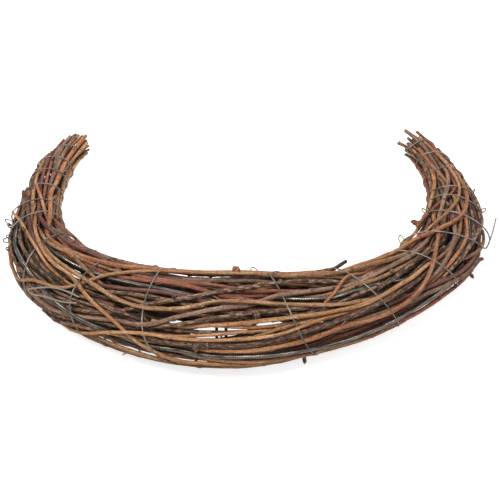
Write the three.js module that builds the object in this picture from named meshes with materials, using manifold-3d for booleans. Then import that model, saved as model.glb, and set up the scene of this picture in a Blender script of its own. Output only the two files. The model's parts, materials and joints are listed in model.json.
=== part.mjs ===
import * as THREE from "three";
import { mergeVertices } from "three/addons/utils/BufferGeometryUtils.js";
import Module from "manifold-3d";

// A crescent of woody vines lying flat: loose stems on two steel rods, bound round with iron wire.
// Millimetres, Z up, origin on the surface below the middle of the crescent's box.
// A place in the bundle is a ring angle (degrees round a vertical axis: 0 in the middle of the front,
// negative to the left), a section angle (0 outward, 90 up, 180 toward the hole) and a depth
// below the bundle's skin. Section planes stand on the vertical axis, one at each ring angle.

// Bundle profile: one value every 18 degrees from the left tip to the right tip
const ringAxisY = 25;
const boxMiddle = [0.6, -9.4];
const profileReach = 126;
const spineRadius = [194, 184.5, 178, 177.5, 172, 163, 156.5, 151, 147, 150, 158, 170, 174.5, 180, 191.5];
const halfWidth = [14, 16.5, 19.5, 29.5, 37, 41, 44.5, 45, 39.5, 36, 33, 32, 24.5, 16.5, 13.5];
const halfHeight = [13, 15, 19, 23, 27, 29.5, 31.5, 31.5, 28, 26, 24, 22.5, 20, 15.5, 12];

// Stems, rods and wire
const stationStep = 8;
const stationReach = 128;
const shortestStep = 2.5;
const stemSides = 5;
const stemTaper = 0.1;
const shootRootScale = 0.8;
const shootFreeAngle = 12;
const rodRadius = 1.9;
const rodSides = 6;
const wireRadius = 0.6;
const wireSides = 4;
const wireStepsPerTurn = 18;
const wireEasing = 0.5;
const wireEasingPasses = 3;
const wireFloor = 0.3;
const stemGap = 0.42;
const wireGap = 0.34;
const undersideClearance = wireFloor + 2 * wireRadius + wireGap;

// Settling of the stems against each other
const settleSteps = 320;
const hardSteps = 120;
const pullToRoute = 0.1;
const routeSmoothing = 0.22;
const neighbourReach = 14;
const neighbourEvery = 20;

const finishes = {
  tan: { color: 0xc09160, roughness: 0.72 },
  ochre: { color: 0xa87a48, roughness: 0.74 },
  orange: { color: 0xa5683c, roughness: 0.7 },
  rust: { color: 0x8a4c38, roughness: 0.7 },
  wine: { color: 0x5f3a36, roughness: 0.72 },
  mauve: { color: 0x8a6658, roughness: 0.76 },
  bark: { color: 0x75604f, roughness: 0.85 },
  dark: { color: 0x4a3a32, roughness: 0.88 },
  steel: { color: 0x6b6d6c, roughness: 0.45, metalness: 0.85 },
  iron: { color: 0x7d7d7a, roughness: 0.4, metalness: 0.85 },
};

// Stems: name, finish, radius, then the route as ring angle, section angle, depth.
// A negative depth stands the stem out of the skin.
const stems = [
  ["stem_tan_diagonal", "tan", 1.7, [-127, 148, 0], [-116, 150, 1], [-100, 128, 5], [-86, 100, 4],
    [-77, 87, 0], [-64, 73, 0], [-55, 63, 0], [-47, 50, 0], [-42, 38, 0], [-36, 24, 0], [-30, 7, 0],
    [-24, -8, 0], [-16, -18, 0], [-7, -20, 0], [3, -24, 0]],
  ["stem_tan_middle", "ochre", 1.75, [-116, 40, 0], [-105, 62, 0], [-95, 74, 1], [-86, 86, 3], [-77, 94, 0],
    [-69, 85, 0], [-60, 74, 0], [-52, 66, 0], [-44, 60, 0], [-36, 57, 0], [-29, 51, 0], [-23, 52, 0],
    [-16, 59, 0], [-10, 69, 0], [-2, 72, 0], [6, 68, 0], [14, 60, 0], [23, 54, 0], [30, 50, 2], [44, 44, 6],
    [58, 42, 8]],
  ["stem_corner", "tan", 1.45, [-86, 8, 0], [-76, 2, 0], [-69, 0, 0], [-64, -9, 0], [-57, 15, 0],
    [-51, 38, 0], [-47, 51, 0], [-43, 72, 0], [-39, 92, 0], [-36, 101, 0], [-32, 114, 0], [-26, 122, 0],
    [-15, 124, 0], [-5, 123, 0], [3, 122, 0]],
  ["stem_orange_edge", "orange", 2.15, [-128, 120, 0], [-120, 130, 0], [-107, 131, 0], [-97, 126, 0],
    [-88, 116, 3], [-79, 98, 5], [-70, 97, 1], [-64, 100, 0], [-55, 103, 0], [-48, 108, 0], [-40, 114, 0],
    [-32, 130, 0], [-20, 137, 0], [0, 139, 0], [16, 138, 0], [24, 134, 0], [33, 126, 3], [46, 118, 6],
    [60, 116, 7]],
  ["stem_grey_top", "mauve", 2.3, [-125, 66, 0], [-117, 84, 1], [-108, 94, 4], [-100, 106, 5],
    [-90, 122, 4], [-83, 134, 1], [-76, 142, 0], [-65, 150, 0], [-52, 146, 0], [-40, 143, 0],
    [-30, 146, 0], [-15, 152, 1], [0, 154, 1], [18, 152, 1], [35, 150, 0]],
  ["stem_mauve_one", "wine", 1.75, [-116, 48, 0], [-110, 72, 0], [-105, 86, 0], [-98, 95, 2], [-90, 94, 3],
    [-82, 91, 0], [-76, 101, 0], [-70, 114, 0], [-60, 117, 0], [-53, 124, 0], [-42, 128, 3], [-28, 122, 6],
    [-10, 116, 7]],
  ["stem_mauve_two", "mauve", 1.95, [-125, 92, 0], [-117, 110, 0], [-108, 120, 2], [-97, 116, 4],
    [-86, 106, 4], [-79, 110, 2], [-75, 128, 0], [-66, 131, 0], [-58, 132, 0], [-52, 136, 1],
    [-42, 134, 5], [-26, 130, 6], [-6, 130, 6], [12, 134, 5]],
  ["stem_rust_inner", "rust", 1.5, [-112, 88, 1], [-105, 103, 0], [-98, 110, 0], [-90, 112, 1],
    [-83, 112, 0], [-79, 131, 0], [-74, 156, 0], [-65, 168, 0], [-50, 166, 0], [-35, 163, 1],
    [-20, 168, 2]],
  ["stem_forked_tan", "ochre", 1.6, [-98, 146, 0], [-93, 127, 0], [-89, 113, 0], [-83, 96, 3], [-75, 86, 4],
    [-66, 86, 2], [-60, 89, 0], [-54, 95, 0], [-49, 88, 0], [-45, 82, 1], [-41, 74, 3], [-35, 68, 3],
    [-26, 62, 4], [-12, 58, 6], [2, 60, 7]],
  ["stem_orange_cross", "orange", 1.5, [-98, 70, 0], [-95, 80, 0], [-91, 95, 0], [-87, 109, 0],
    [-84, 121, 1], [-78, 140, 3], [-68, 158, 4], [-54, 170, 4], [-38, 176, 4]],
  ["stem_bark_left", "bark", 1.85, [-111, 24, 0], [-104, 48, 0], [-98, 62, 0], [-90, 58, 2], [-83, 52, 2],
    [-77, 49, 0], [-69, 48, 0], [-59, 48, 0], [-53, 46, 0], [-49, 42, 2], [-43, 41, 0], [-36, 40, 0],
    [-30, 35, 1], [-24, 30, 3]],
  ["stem_wine_left", "wine", 1.95, [-95, 40, -1], [-90, 56, 0], [-86, 65, 0], [-81, 71, 0], [-74, 73, 0],
    [-66, 71, 1], [-58, 61, 1], [-53, 54, 2], [-44, 50, 5], [-34, 46, 6]],
  ["stem_dark_left", "dark", 1.6, [-106, 76, 3], [-92, 64, 4], [-80, 64, 3], [-70, 65, 1], [-63, 61, 0],
    [-57, 57, 0], [-51, 53, 2], [-42, 58, 5], [-28, 62, 6], [-12, 66, 6]],
  ["stem_outer_one", "mauve", 1.75, [-101, 14, 0], [-88, 22, 0], [-78, 20, 0], [-72, 12, 0], [-65, 13, 0],
    [-60, 17, 0], [-55, 9, 0], [-47, 8, 0], [-41, 9, 2], [-32, 12, 4], [-18, 8, 5]],
  ["stem_outer_two", "bark", 1.5, [-92, 30, 0], [-82, 28, 0], [-73, 23, 0], [-66, 23, 0], [-60, 23, 1],
    [-52, 26, 4], [-40, 30, 6], [-26, 26, 7]],
  ["stem_low_left", "bark", 1.75, [-84, -22, 0], [-75, -16, 0], [-64, -20, 0], [-55, -18, 0], [-50, -22, 0],
    [-44, -6, 2], [-36, 0, 4], [-22, 2, 5], [-6, 6, 6]],
  ["stem_broken_corner", "bark", 1.75, [-54, -36, 0], [-48, -24, 0], [-43, -2, 0], [-37, 6, 0], [-30, 4, 3],
    [-20, 2, 7], [-6, 6, 8]],
  ["stem_tan_low", "tan", 1.45, [-58, -36, 1], [-48, -36, 0], [-43, -16, 0], [-38, -9, 0], [-32, 5, 0],
    [-26, 18, 0], [-20, 22, 0], [-12, 23, 0], [-4, 25, 0], [3, 27, 0], [9, 31, 0], [15, 38, 1],
    [24, 41, 4], [38, 36, 7]],
  ["stem_pink_long", "mauve", 2.0, [-62, -8, 3], [-50, -6, 3], [-43, 2, 1], [-37, 18, 0], [-30, 26, 0],
    [-23, 39, 0], [-17, 51, 0], [-10, 60, 0], [-5, 65, 1], [0, 71, 4], [5, 77, 0], [10, 80, 0],
    [21, 82, 0], [28, 86, 0], [35, 89, 0], [45, 91, 0], [55, 91, 0], [61, 98, 0], [67, 111, 1],
    [75, 121, 3], [84, 126, 2], [90, 123, 0], [99, 109, 0], [105, 96, 0], [113, 92, 2], [121, 96, 2]],
  ["stem_dark_bark", "bark", 1.95, [-54, 16, 4], [-46, 12, 2], [-39, 22, 0], [-32, 41, 0], [-26, 59, 0],
    [-18, 72, 0], [-11, 83, 0], [-5, 89, 0], [2, 94, 0], [9, 100, 0], [17, 104, 0], [24, 102, 1],
    [32, 97, 1], [38, 96, 1], [48, 100, 4], [60, 112, 5], [76, 138, 4], [90, 150, 2], [104, 148, 1],
    [114, 145, 0], [120, 148, 0], [127, 162, 0], [130, 168, 0]],
  ["stem_rust_red", "rust", 2.0, [-62, 94, 5], [-46, 95, 2], [-38, 94, 1], [-33, 96, 0], [-26, 98, 0],
    [-17, 94, 0], [-12, 89, 3], [-8, 84, 3], [-4, 80, 0], [1, 76, 2], [8, 70, 5], [22, 66, 6]],
  ["stem_red_inner", "rust", 1.75, [-34, 106, 4], [-22, 104, 2], [-14, 99, 1], [-8, 97, 2], [0, 92, 4],
    [6, 90, 2], [11, 87, 1], [16, 87, 2], [26, 92, 4], [38, 102, 5], [50, 110, 6], [64, 144, 5],
    [84, 172, 2], [101, 178, 0], [112, 188, 0], [124, 196, 0]],
  ["stem_wine_middle", "wine", 1.85, [-53, 62, 8], [-46, 68, 5], [-39, 73, 1], [-31, 76, 0], [-23, 80, 0],
    [-16, 78, 1], [-11, 76, 3], [-6, 74, 5], [4, 66, 6], [18, 58, 6], [32, 56, 6]],
  ["stem_grey_middle", "bark", 1.7, [-58, 60, 6], [-46, 58, 4], [-40, 62, 1], [-33, 67, 0], [-25, 71, 0],
    [-19, 70, 2], [-12, 66, 4], [-2, 60, 5], [10, 56, 5], [24, 54, 6]],
  ["stem_brown_middle", "bark", 1.85, [-44, 2, 6], [-30, 12, 3], [-22, 25, 1], [-16, 36, 0], [-9, 47, 0],
    [-1, 55, 0], [5, 58, 0], [11, 59, 0], [16, 58, 2], [26, 60, 4], [38, 58, 5], [52, 60, 5],
    [66, 70, 5]],
  ["stem_tan_arch", "tan", 1.85, [-23, 34, 6], [-16, 36, 2], [-12, 40, 0], [-8, 43, 0], [-1, 46, 0],
    [7, 48, 0], [20, 47, 0], [28, 45, 0], [36, 46, 0], [44, 49, 0], [53, 54, 0], [59, 57, 2], [68, 66, 4],
    [80, 76, 4], [92, 90, 4]],
  ["stem_dark_front", "dark", 2.2, [-40, 4, 6], [-26, 8, 3], [-17, 12, 1], [-8, 15, 0], [-1, 15, 0],
    [5, 19, 0], [11, 24, 0], [18, 28, 0], [24, 32, 0], [31, 36, 0], [39, 39, 0], [46, 36, 0], [52, 38, 0],
    [58, 43, 3], [68, 54, 5], [82, 66, 5]],
  ["stem_right_diagonal", "orange", 2.0, [-12, 6, 4], [-5, 5, 0], [5, 10, 0], [13, 12, 0], [19, 16, 0],
    [24, 20, 0], [31, 15, 0], [37, 9, 0], [44, 4, 0], [50, 13, 0], [54, 30, 0], [58, 53, 0], [63, 74, 0],
    [67, 86, 0], [71, 98, 0], [76, 111, 0], [81, 125, 0], [88, 138, 3], [97, 144, 4]],
  ["stem_edge_right", "rust", 1.95, [-10, -50, 1], [4, -48, 0], [10, -38, 0], [20, -34, 0], [31, -24, 0],
    [40, -19, 0], [47, -26, 0], [56, -24, 0], [64, -20, 0], [70, -14, 0], [73, -8, -2]],
  ["stem_edge_front", "mauve", 2.0, [-60, -50, 0], [-50, -48, 0], [-44, -32, 0], [-38, -34, 0],
    [-30, -36, 0], [-22, -40, 0], [-10, -40, 0], [0, -40, 0], [8, -44, 0], [16, -50, 0], [28, -52, 0],
    [42, -54, 0]],
  ["stem_tan_bottom", "tan", 1.7, [-20, 0, 5], [-10, -4, 1], [-4, -10, 0], [2, -13, 0], [8, -17, 0],
    [14, -24, 0], [22, -22, 0], [32, -34, 0], [44, -38, 0]],
  ["stem_edge_two", "ochre", 1.6, [-50, -12, 3], [-42, -20, 1], [-36, -20, 0], [-29, -14, 0], [-24, -20, 0],
    [-18, -30, 0], [-10, -31, 0], [0, -32, 0], [8, -30, 1], [20, -30, 4]],
  ["stem_mid_low", "ochre", 1.75, [-17, 16, 4], [-8, 18, 4], [-1, 22, 3], [8, 34, 1], [15, 36, 2],
    [26, 36, 4], [40, 30, 5]],
  ["stem_bark_upper", "bark", 1.85, [6, 50, 6], [18, 58, 2], [23, 58, 0], [27, 61, 0], [34, 65, 0],
    [40, 67, 0], [45, 72, 0], [50, 77, 0], [55, 81, 0], [63, 88, 3], [74, 94, 4], [88, 102, 4]],
  ["stem_brown_upper", "ochre", 1.85, [14, 78, 4], [24, 71, 1], [31, 72, 0], [37, 77, 0], [45, 81, 0],
    [52, 84, 0], [57, 87, 1], [66, 94, 4], [80, 110, 4], [96, 126, 4], [110, 130, 3]],
  ["stem_pink_low", "mauve", 1.95, [18, 16, 4], [30, 24, 2], [38, 27, 0], [44, 24, 0], [49, 22, 0],
    [55, 14, 0], [61, 2, 0], [69, -8, 0], [76, -10, 0], [90, -8, 1]],
  ["stem_purple_low", "wine", 1.85, [38, 32, 4], [48, 33, 2], [54, 28, 0], [61, 16, 0], [66, 12, 0],
    [76, 6, 0], [88, 2, 0], [102, 8, 0]],
  ["stem_thick_upright", "mauve", 2.15, [48, 28, 5], [57, 41, 0], [62, 54, 0], [67, 66, 0], [72, 76, 0],
    [78, 88, 0], [82, 98, 0], [90, 104, 3], [102, 104, 2], [112, 104, 1], [120, 104, 0], [126, 98, 0],
    [131, 96, 0]],
  ["stem_orange_upright", "orange", 1.7, [52, 30, 4], [62, 47, 0], [68, 55, 0], [73, 58, 0], [79, 68, 0],
    [85, 66, 1], [90, 76, 0], [97, 91, 0], [107, 103, 0], [116, 114, 0], [122, 117, 0]],
  ["stem_bark_upright", "bark", 1.75, [54, 28, 5], [64, 41, 0], [69, 46, 0], [75, 42, 0], [81, 31, 0],
    [88, 22, 0], [97, 22, 0], [105, 28, 0], [112, 48, 0], [119, 76, 0]],
  ["stem_short_right", "ochre", 1.6, [52, 52, 4], [58, 44, 1], [64, 36, 0], [69, 25, 0], [74, 6, 0],
    [80, -4, 0], [88, -22, 0]],
  ["stem_pale_horn", "tan", 1.5, [62, 124, 5], [73, 119, 0], [79, 108, 0], [85, 93, 0], [91, 82, 1],
    [98, 74, 0], [107, 77, 0], [117, 84, 0], [126, 86, 0]],
  ["stem_tan_horn", "tan", 1.75, [66, 156, 2], [78, 152, 2], [88, 148, 1], [96, 144, 0], [106, 135, 0],
    [117, 127, 0], [125, 118, 0], [129, 112, 0]],
  ["stem_thick_tan", "ochre", 2.4, [5, 128, 0], [15, 121, 0], [24, 113, 0], [33, 106, 0], [46, 106, 0],
    [54, 101, 0], [61, 101, 0], [68, 106, 3], [80, 118, 4], [94, 132, 3], [108, 136, 2], [118, 130, 0],
    [123, 138, 0], [128, 146, 0]],
  ["stem_right_edge", "orange", 1.95, [16, 142, 3], [28, 134, 1], [37, 124, 0], [45, 124, 0], [52, 118, 0],
    [59, 122, 0], [66, 129, 0], [70, 114, 0], [74, 88, 0], [79, 74, 2], [86, 60, 3], [98, 46, 2],
    [110, 50, 1]],
  ["stem_red_horn", "rust", 1.75, [75, 150, -1], [81, 154, 0], [86, 143, 0], [90, 118, 0], [94, 92, 0],
    [100, 74, 1], [108, 66, 1], [116, 72, 0], [125, 68, 0], [129, 60, 0]],
  ["stem_tan_spur", "tan", 1.45, [-87, 16, -2], [-81, 45, 0], [-76, 58, 0], [-71, 67, 0], [-65, 68, 0],
    [-59, 62, 0], [-52, 58, 3], [-42, 66, 6]],
  ["stem_short_twig", "orange", 1.4, [21, 55, 2], [24, 65, 0], [27, 76, 0], [31, 88, 0], [35, 97, 1],
    [42, 110, 4], [52, 120, 5]],
  ["stem_dark_stub", "dark", 1.85, [-12, 152, 4], [4, 148, 5], [18, 144, 4], [27, 138, 1], [33, 132, 0],
    [38, 131, -4]],
  ["stem_inner_edge", "ochre", 1.75, [-126, 198, 0], [-118, 196, 0], [-108, 190, 0], [-97, 186, 0],
    [-86, 182, 0], [-72, 186, 1], [-56, 188, 0], [-40, 186, 0], [-22, 186, 0], [0, 182, 0], [20, 180, 0],
    [40, 182, 0], [56, 180, 0]],
  ["stem_inner_low", "bark", 2.15, [-120, 236, 0], [-104, 228, 0], [-84, 222, 0], [-60, 214, 0],
    [-36, 208, 0], [-10, 206, 0], [16, 204, 0], [44, 206, 0], [70, 214, 0], [96, 224, 0], [118, 232, 0]],
  ["stem_under_inner", "dark", 2.2, [-98, 256, 0], [-76, 250, 0], [-50, 240, 0], [-24, 234, 0], [6, 232, 0],
    [36, 234, 0], [66, 244, 0], [92, 254, 0]],
  ["stem_under_left", "bark", 2.2, [-124, 276, 0], [-104, 272, 0], [-80, 272, 0], [-54, 270, 0],
    [-28, 262, 0], [-4, 262, 0], [14, 258, 1]],
  ["stem_under_right", "mauve", 2.2, [-16, 280, 0], [8, 274, 0], [32, 270, 0], [60, 272, 0], [86, 272, 0],
    [108, 272, 0], [124, 276, 0]],
  ["stem_under_outer", "ochre", 2.0, [-104, 330, 0], [-86, 318, 0], [-66, 304, 0], [-44, 294, 0],
    [-18, 290, 0], [10, 290, 0], [38, 294, 0], [64, 304, 0], [88, 324, 0], [108, 338, 0]],
];

// Side shoots: the stem each grows from, radius, then its route. The first or last place, given as a
// ring angle alone, is the root on that stem.
const sideShoots = [
  ["stem_forked_tan", 1.3, [-56], [-44, 104, 4], [-30, 112, 6], [-12, 116, 7]],
  ["stem_edge_right", 1.4, [64], [70, -4, -1], [75, 2, -3]],
  ["stem_thick_tan", 1.6, [24], [34, 96, 5], [50, 92, 6], [66, 92, 6], [80, 98, 6]],
  ["stem_under_left", 1.65, [-72], [-60, 288, 1], [-40, 278, 2], [-16, 274, 2], [6, 282, 2]],
  ["stem_under_right", 1.65, [48], [60, 260, 1], [76, 256, 1], [92, 254, 2], [106, 254, 2]],
  ["stem_dark_front", 1.65, [8], [18, 12, 6], [32, 12, 6], [48, 8, 6], [64, 14, 6], [80, 22, 6]],
  ["stem_brown_middle", 1.45, [16], [28, 70, 4], [40, 70, 5], [54, 74, 5]],
  ["stem_rust_red", 1.6, [-8], [4, 96, 6], [20, 100, 7], [36, 94, 7], [50, 86, 7]],
  ["stem_inner_low", 1.5, [-40], [-28, 196, 1], [-12, 192, 1], [8, 190, 1], [24, 188, 1]],
  ["stem_orange_edge", 1.6, [0], [12, 124, 6], [30, 114, 8], [48, 104, 8]],
  ["stem_tan_bottom", 1.4, [16], [26, -12, 4], [38, -14, 4], [52, -10, 4], [66, -2, 4]],
  ["stem_low_left", 1.45, [-64], [-54, 2, 5], [-42, -8, 5], [-28, -12, 5], [-10, -16, 5]],
  ["stem_outer_one", 1.45, [-80], [-70, 30, 5], [-56, 34, 7], [-44, 36, 8], [-30, 34, 8]],
  ["stem_bark_upright", 1.45, [88], [98, 42, 3], [108, 38, 1], [116, 40, 0], [124, 42, 0]],
  ["stem_mauve_one", 1.45, [-124, 40, 0], [-114, 28, 1], [-104, 26, 3], [-96]],
  ["stem_tan_horn", 1.45, [104], [112, 152, 3], [120, 162, 0], [126, 172, 0]],
  // Tips of the left horn
  ["stem_tan_diagonal", 1.8, [-127, 176, 0], [-120, 172, 0], [-112, 168, 1], [-104]],
  ["stem_orange_edge", 1.8, [-128, 150, 4], [-120, 142, 5], [-112, 140, 5], [-104]],
  ["stem_grey_top", 1.8, [-126, 38, 0], [-120, 52, 3], [-112, 72, 4], [-104]],
  ["stem_rust_inner", 1.4, [-124, 80, 6], [-114, 92, 7], [-104, 96, 6], [-96]],
  ["stem_inner_edge", 1.7, [-125, 210, 0], [-120, 185, 3], [-112, 172, 4], [-104]],
  ["stem_bark_left", 1.9, [-116, 30, 0], [-110, 20, 0], [-104]],
  ["stem_tan_middle", 1.6, [-121, 46, 3], [-112, 52, 5], [-104]],
  ["stem_under_left", 1.7, [-125, 322, 0], [-120, 312, 0], [-112, 300, 1], [-104]],
  ["stem_inner_low", 1.7, [-118, 256, 0], [-111, 250, 1], [-104]],
  // Tips of the right horn
  ["stem_thick_tan", 1.5, [104], [112, 140, 5], [120, 142, 5], [127, 150, 3]],
  ["stem_red_horn", 1.5, [104], [112, 52, 3], [120, 46, 1], [129, 60, 0]],
  ["stem_thick_upright", 1.5, [104], [112, 86, 5], [120, 80, 5], [128, 78, 3]],
  ["stem_under_right", 1.6, [104], [112, 292, 0], [120, 305, 0], [125, 318, 0]],
  ["stem_inner_low", 1.4, [104], [111, 208, 1], [117, 204, 0]],
  ["stem_dark_bark", 1.5, [104], [112, 166, 4], [120, 176, 3], [127, 188, 1]],
  // Inside the left arm
  ["stem_dark_left", 1.5, [-88], [-80, 82, 8], [-66, 84, 10], [-52, 84, 10], [-38, 82, 11], [-20, 80, 12]],
  ["stem_wine_left", 1.5, [-80], [-70, 60, 7], [-56, 52, 9], [-42, 46, 11], [-26, 44, 12]],
  ["stem_bark_left", 1.5, [-96], [-88, 44, 6], [-74, 38, 8], [-60, 32, 10], [-44, 28, 10]],
  ["stem_mauve_one", 1.5, [-72], [-64, 108, 7], [-52, 104, 8], [-38, 100, 9], [-20, 98, 10]],
  ["stem_grey_top", 1.5, [-64], [-56, 160, 4], [-42, 160, 5], [-26, 162, 5], [-8, 162, 5]],
  ["stem_rust_inner", 1.4, [-64], [-56, 178, 4], [-40, 180, 4], [-22, 176, 4], [-4, 172, 4]],
  ["stem_outer_two", 1.5, [-64], [-56, 14, 6], [-44, 18, 9], [-30, 22, 11], [-14, 24, 12]],
  ["stem_under_inner", 1.6, [-56], [-46, 225, 4], [-30, 220, 4], [-10, 220, 4], [10, 222, 4]],
  ["stem_under_outer", 1.5, [-72], [-62, 322, 4], [-48, 330, 5], [-32, 334, 6], [-14, 336, 6]],
  ["stem_tan_middle", 1.5, [-96], [-86, 74, 8], [-72, 72, 12], [-58, 72, 14], [-44, 76, 14]],
  ["stem_dark_bark", 1.5, [-40], [-30, 30, 6], [-16, 34, 8], [0, 34, 9], [14, 30, 10]],
  // Inside the front and the right arm
  ["stem_tan_low", 1.4, [-24], [-14, 32, 4], [0, 36, 5], [16, 34, 6], [32, 28, 7]],
  ["stem_mid_low", 1.4, [-8], [2, 20, 8], [16, 20, 10], [30, 14, 10]],
  ["stem_tan_arch", 1.4, [-8], [2, 36, 7], [16, 42, 8], [30, 40, 8], [46, 32, 8]],
  ["stem_tan_bottom", 1.5, [-8], [2, 2, 7], [16, 0, 9], [32, -4, 9], [48, -4, 8]],
  ["stem_edge_right", 1.5, [8], [18, -18, 6], [32, -12, 7], [46, -10, 7], [60, -8, 6]],
  ["stem_dark_front", 1.5, [24], [34, 22, 7], [48, 14, 9], [60, 8, 9], [72, 8, 7]],
  ["stem_mid_low", 1.5, [8], [18, 46, 8], [32, 50, 10], [46, 52, 11]],
  ["stem_brown_middle", 1.5, [-8], [2, 66, 8], [16, 68, 10], [32, 64, 12], [46, 62, 13]],
  ["stem_tan_low", 1.4, [-32], [-22, 10, 7], [-8, 6, 9], [8, 4, 11], [22, 4, 12]],
  ["stem_wine_middle", 1.5, [-8], [2, 82, 9], [16, 82, 11], [32, 84, 12]],
  ["stem_red_inner", 1.5, [24], [34, 118, 9], [48, 124, 9], [62, 134, 8], [76, 140, 7]],
  ["stem_bark_upper", 1.5, [24], [34, 58, 7], [46, 62, 9], [60, 66, 10], [76, 70, 9]],
  ["stem_purple_low", 1.5, [64], [72, 20, 6], [84, 16, 6], [96, 16, 4]],
  ["stem_bark_upright", 1.5, [72], [80, 52, 6], [90, 54, 7], [100, 58, 6], [108, 62, 4]],
  ["stem_thick_upright", 1.5, [72], [80, 84, 9], [92, 86, 8], [104, 86, 7]],
  ["stem_under_outer", 1.5, [48], [58, 328, 4], [70, 336, 5], [82, 340, 5], [96, 345, 4]],
  ["stem_inner_low", 1.5, [56], [66, 200, 3], [80, 204, 3], [94, 212, 2]],
  ["stem_under_inner", 1.6, [40], [50, 228, 4], [64, 232, 4], [78, 238, 3]],
];

// The two rods of the steel frame inside the skin of stems
const rods = [
  ["frame_rod_outer", "steel", rodRadius, [-94, 42, 3], [-82, 38, 2], [-73, 36, 0], [-66, 34, 0],
    [-60, 31, 0], [-55, 22, 2], [-50, 18, 0], [-43, 13, 0], [-36, 6, 4], [-28, 0, 5], [-21, -4, 2],
    [-16, -3, 1], [-10, -2, 2], [-1, -2, 0], [5, -4, 0], [13, -8, 0], [22, -11, 0], [31, -8, 0],
    [38, -4, 0], [44, -4, 1], [52, -6, 3], [62, -4, 4], [74, 4, 5], [90, 14, 4]],
  ["frame_rod_upper", "steel", rodRadius, [-96, 80, 3], [-84, 80, 4], [-72, 86, 3], [-63, 85, 1],
    [-54, 84, 0], [-44, 87, 1], [-33, 86, 1], [-22, 85, 1], [-12, 82, 3], [-2, 78, 5], [8, 74, 2],
    [18, 70, 1], [24, 68, 2], [36, 60, 6], [50, 50, 8], [62, 36, 5], [70, 37, 4], [80, 46, 5],
    [96, 60, 5]],
];

// Cut side buds: stem, ring angle, section angle, length from the stem's middle, radius
const budSides = 6;
const budTaper = 0.8;
const buds = [
  ["stem_orange_edge", -5, 96, 6, 2.0],
  ["stem_edge_front", 14.5, -62, 6.5, 1.9],
  ["stem_red_horn", 77, 168, 6.5, 2.2],
  ["stem_mauve_two", -79, 78, 5, 1.8],
  ["stem_pink_low", 61, 20, 5, 1.9],
  ["stem_edge_right", 67, -40, 5, 1.9],
  ["stem_wine_left", -92, 60, 5, 1.7],
  ["stem_dark_bark", -19, 95, 4.5, 1.7],
  ["stem_brown_upper", 44.5, 70, 4.5, 1.8],
  ["stem_under_outer", -58, 315, 5.5, 1.7],
];

// Knuckles under the bundle that it rests on: stem, ring angle. Their cut ends are flat.
const feet = [["stem_under_left", -92], ["stem_under_left", -4], ["stem_under_right", 92]];
const footRadius = 2.3;
const footSides = 8;

// Binding wire: ring angles where each turn crosses the top of the hole side and the outer side
const wireInnerSection = 140;
const leftWireTurns = [
  [-121.5, -116.5], [-114.5, -110.5], [-108, -104], [-100, -95.5], [-90, -86], [-83, -78], [-70, -59],
  [-49, -41], [-31, -22], [6, 14], [31, 38], [54, 60], [68, 74],
];
const rightWireTurns = [[76, 84], [86, 92], [93.5, 97], [105, 108.5], [112.5, 118], [121, 124.5]];
// Where the wire stands off: turn, section angle, height
const leftWireSlack = [[6, 160, 4], [7, 160, 4], [8, 160, 4], [11, -30, 3], [12, 160, 7]];
const rightWireSlack = [[0, 165, 5], [1, 165, 5], [2, 165, 4], [3, 20, 3]];
const slackWidth = 45;
// The left wire's free end beyond its last turn: section angle past the crossing, ring angle, height
const freeEnd = [[12, 76, 1], [22, 79, 6], [34, 81, 12]];
// One folded strand of wire laid flat on the front left: ring angle, section angle
const tieRoute = [
  [-41.5, 43], [-45, 44], [-48.5, 41], [-51.5, 33], [-53.8, 23], [-55.6, 15], [-56.2, 10], [-55, 9],
  [-53, 14], [-51, 20], [-48.8, 24], [-46, 26.5], [-43.5, 30], [-41.3, 35],
];
const tieStepsPerPlace = 2;

const degrees = Math.PI / 180;
const wasm = await Module();
wasm.setup();

// Bundle envelope
function profileCurve(values) {
  const knots = values.map((value, i) => new THREE.Vector3(i, value, 0));
  return new THREE.CatmullRomCurve3(knots, false, "catmullrom", 0.5);
}
const profiles = {
  radius: profileCurve(spineRadius),
  width: profileCurve(halfWidth),
  height: profileCurve(halfHeight),
};

function envelopeAt(angle) {
  const t = THREE.MathUtils.clamp((angle + profileReach) / (2 * profileReach), 0, 1);
  const height = profiles.height.getPoint(t).y;
  const width = profiles.width.getPoint(t).y;
  return { r: profiles.radius.getPoint(t).y, z: height + undersideClearance, a: width, b: height };
}

function planePoint(angle, r, z) {
  const point = { angle, r, z, sin: Math.sin(angle * degrees), cos: Math.cos(angle * degrees), x: 0, y: 0 };
  refresh(point);
  return point;
}

function refresh(point) {
  point.x = point.r * point.sin;
  point.y = ringAxisY - point.r * point.cos;
}

function toVector({ x, y, z }) {
  return new THREE.Vector3(x, y, z);
}

function alongRoute(route, angle) {
  let i = 1;
  while (i < route.length - 1 && route[i][0] < angle) i++;
  const [from, to] = [route[i - 1], route[i]];
  const t = THREE.MathUtils.clamp((angle - from[0]) / (to[0] - from[0]), 0, 1);
  return { section: from[1] + (to[1] - from[1]) * t, depth: from[2] + (to[2] - from[2]) * t };
}

function routeAngles(start, end) {
  const angles = [start];
  for (let angle = -stationReach; angle <= stationReach; angle += stationStep) {
    if (angle > start + shortestStep && angle < end - shortestStep) angles.push(angle);
  }
  return [...angles, end];
}

// A stem as points in section planes: its own two ends and the common stations between them
function makeStrand([name, finish, radius, ...route]) {
  const points = routeAngles(route[0][0], route[route.length - 1][0]).map((angle) => {
    const { section, depth } = alongRoute(route, angle);
    const hull = envelopeAt(angle);
    const inset = radius + depth;
    const r = hull.r + (hull.a - inset) * Math.cos(section * degrees);
    const z = hull.z + (hull.b - inset) * Math.sin(section * degrees);
    return { ...planePoint(angle, r, z), hull, homeR: r, homeZ: z, free: depth < 0 };
  });
  return { name, finish, radius, points, family: name };
}

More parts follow.
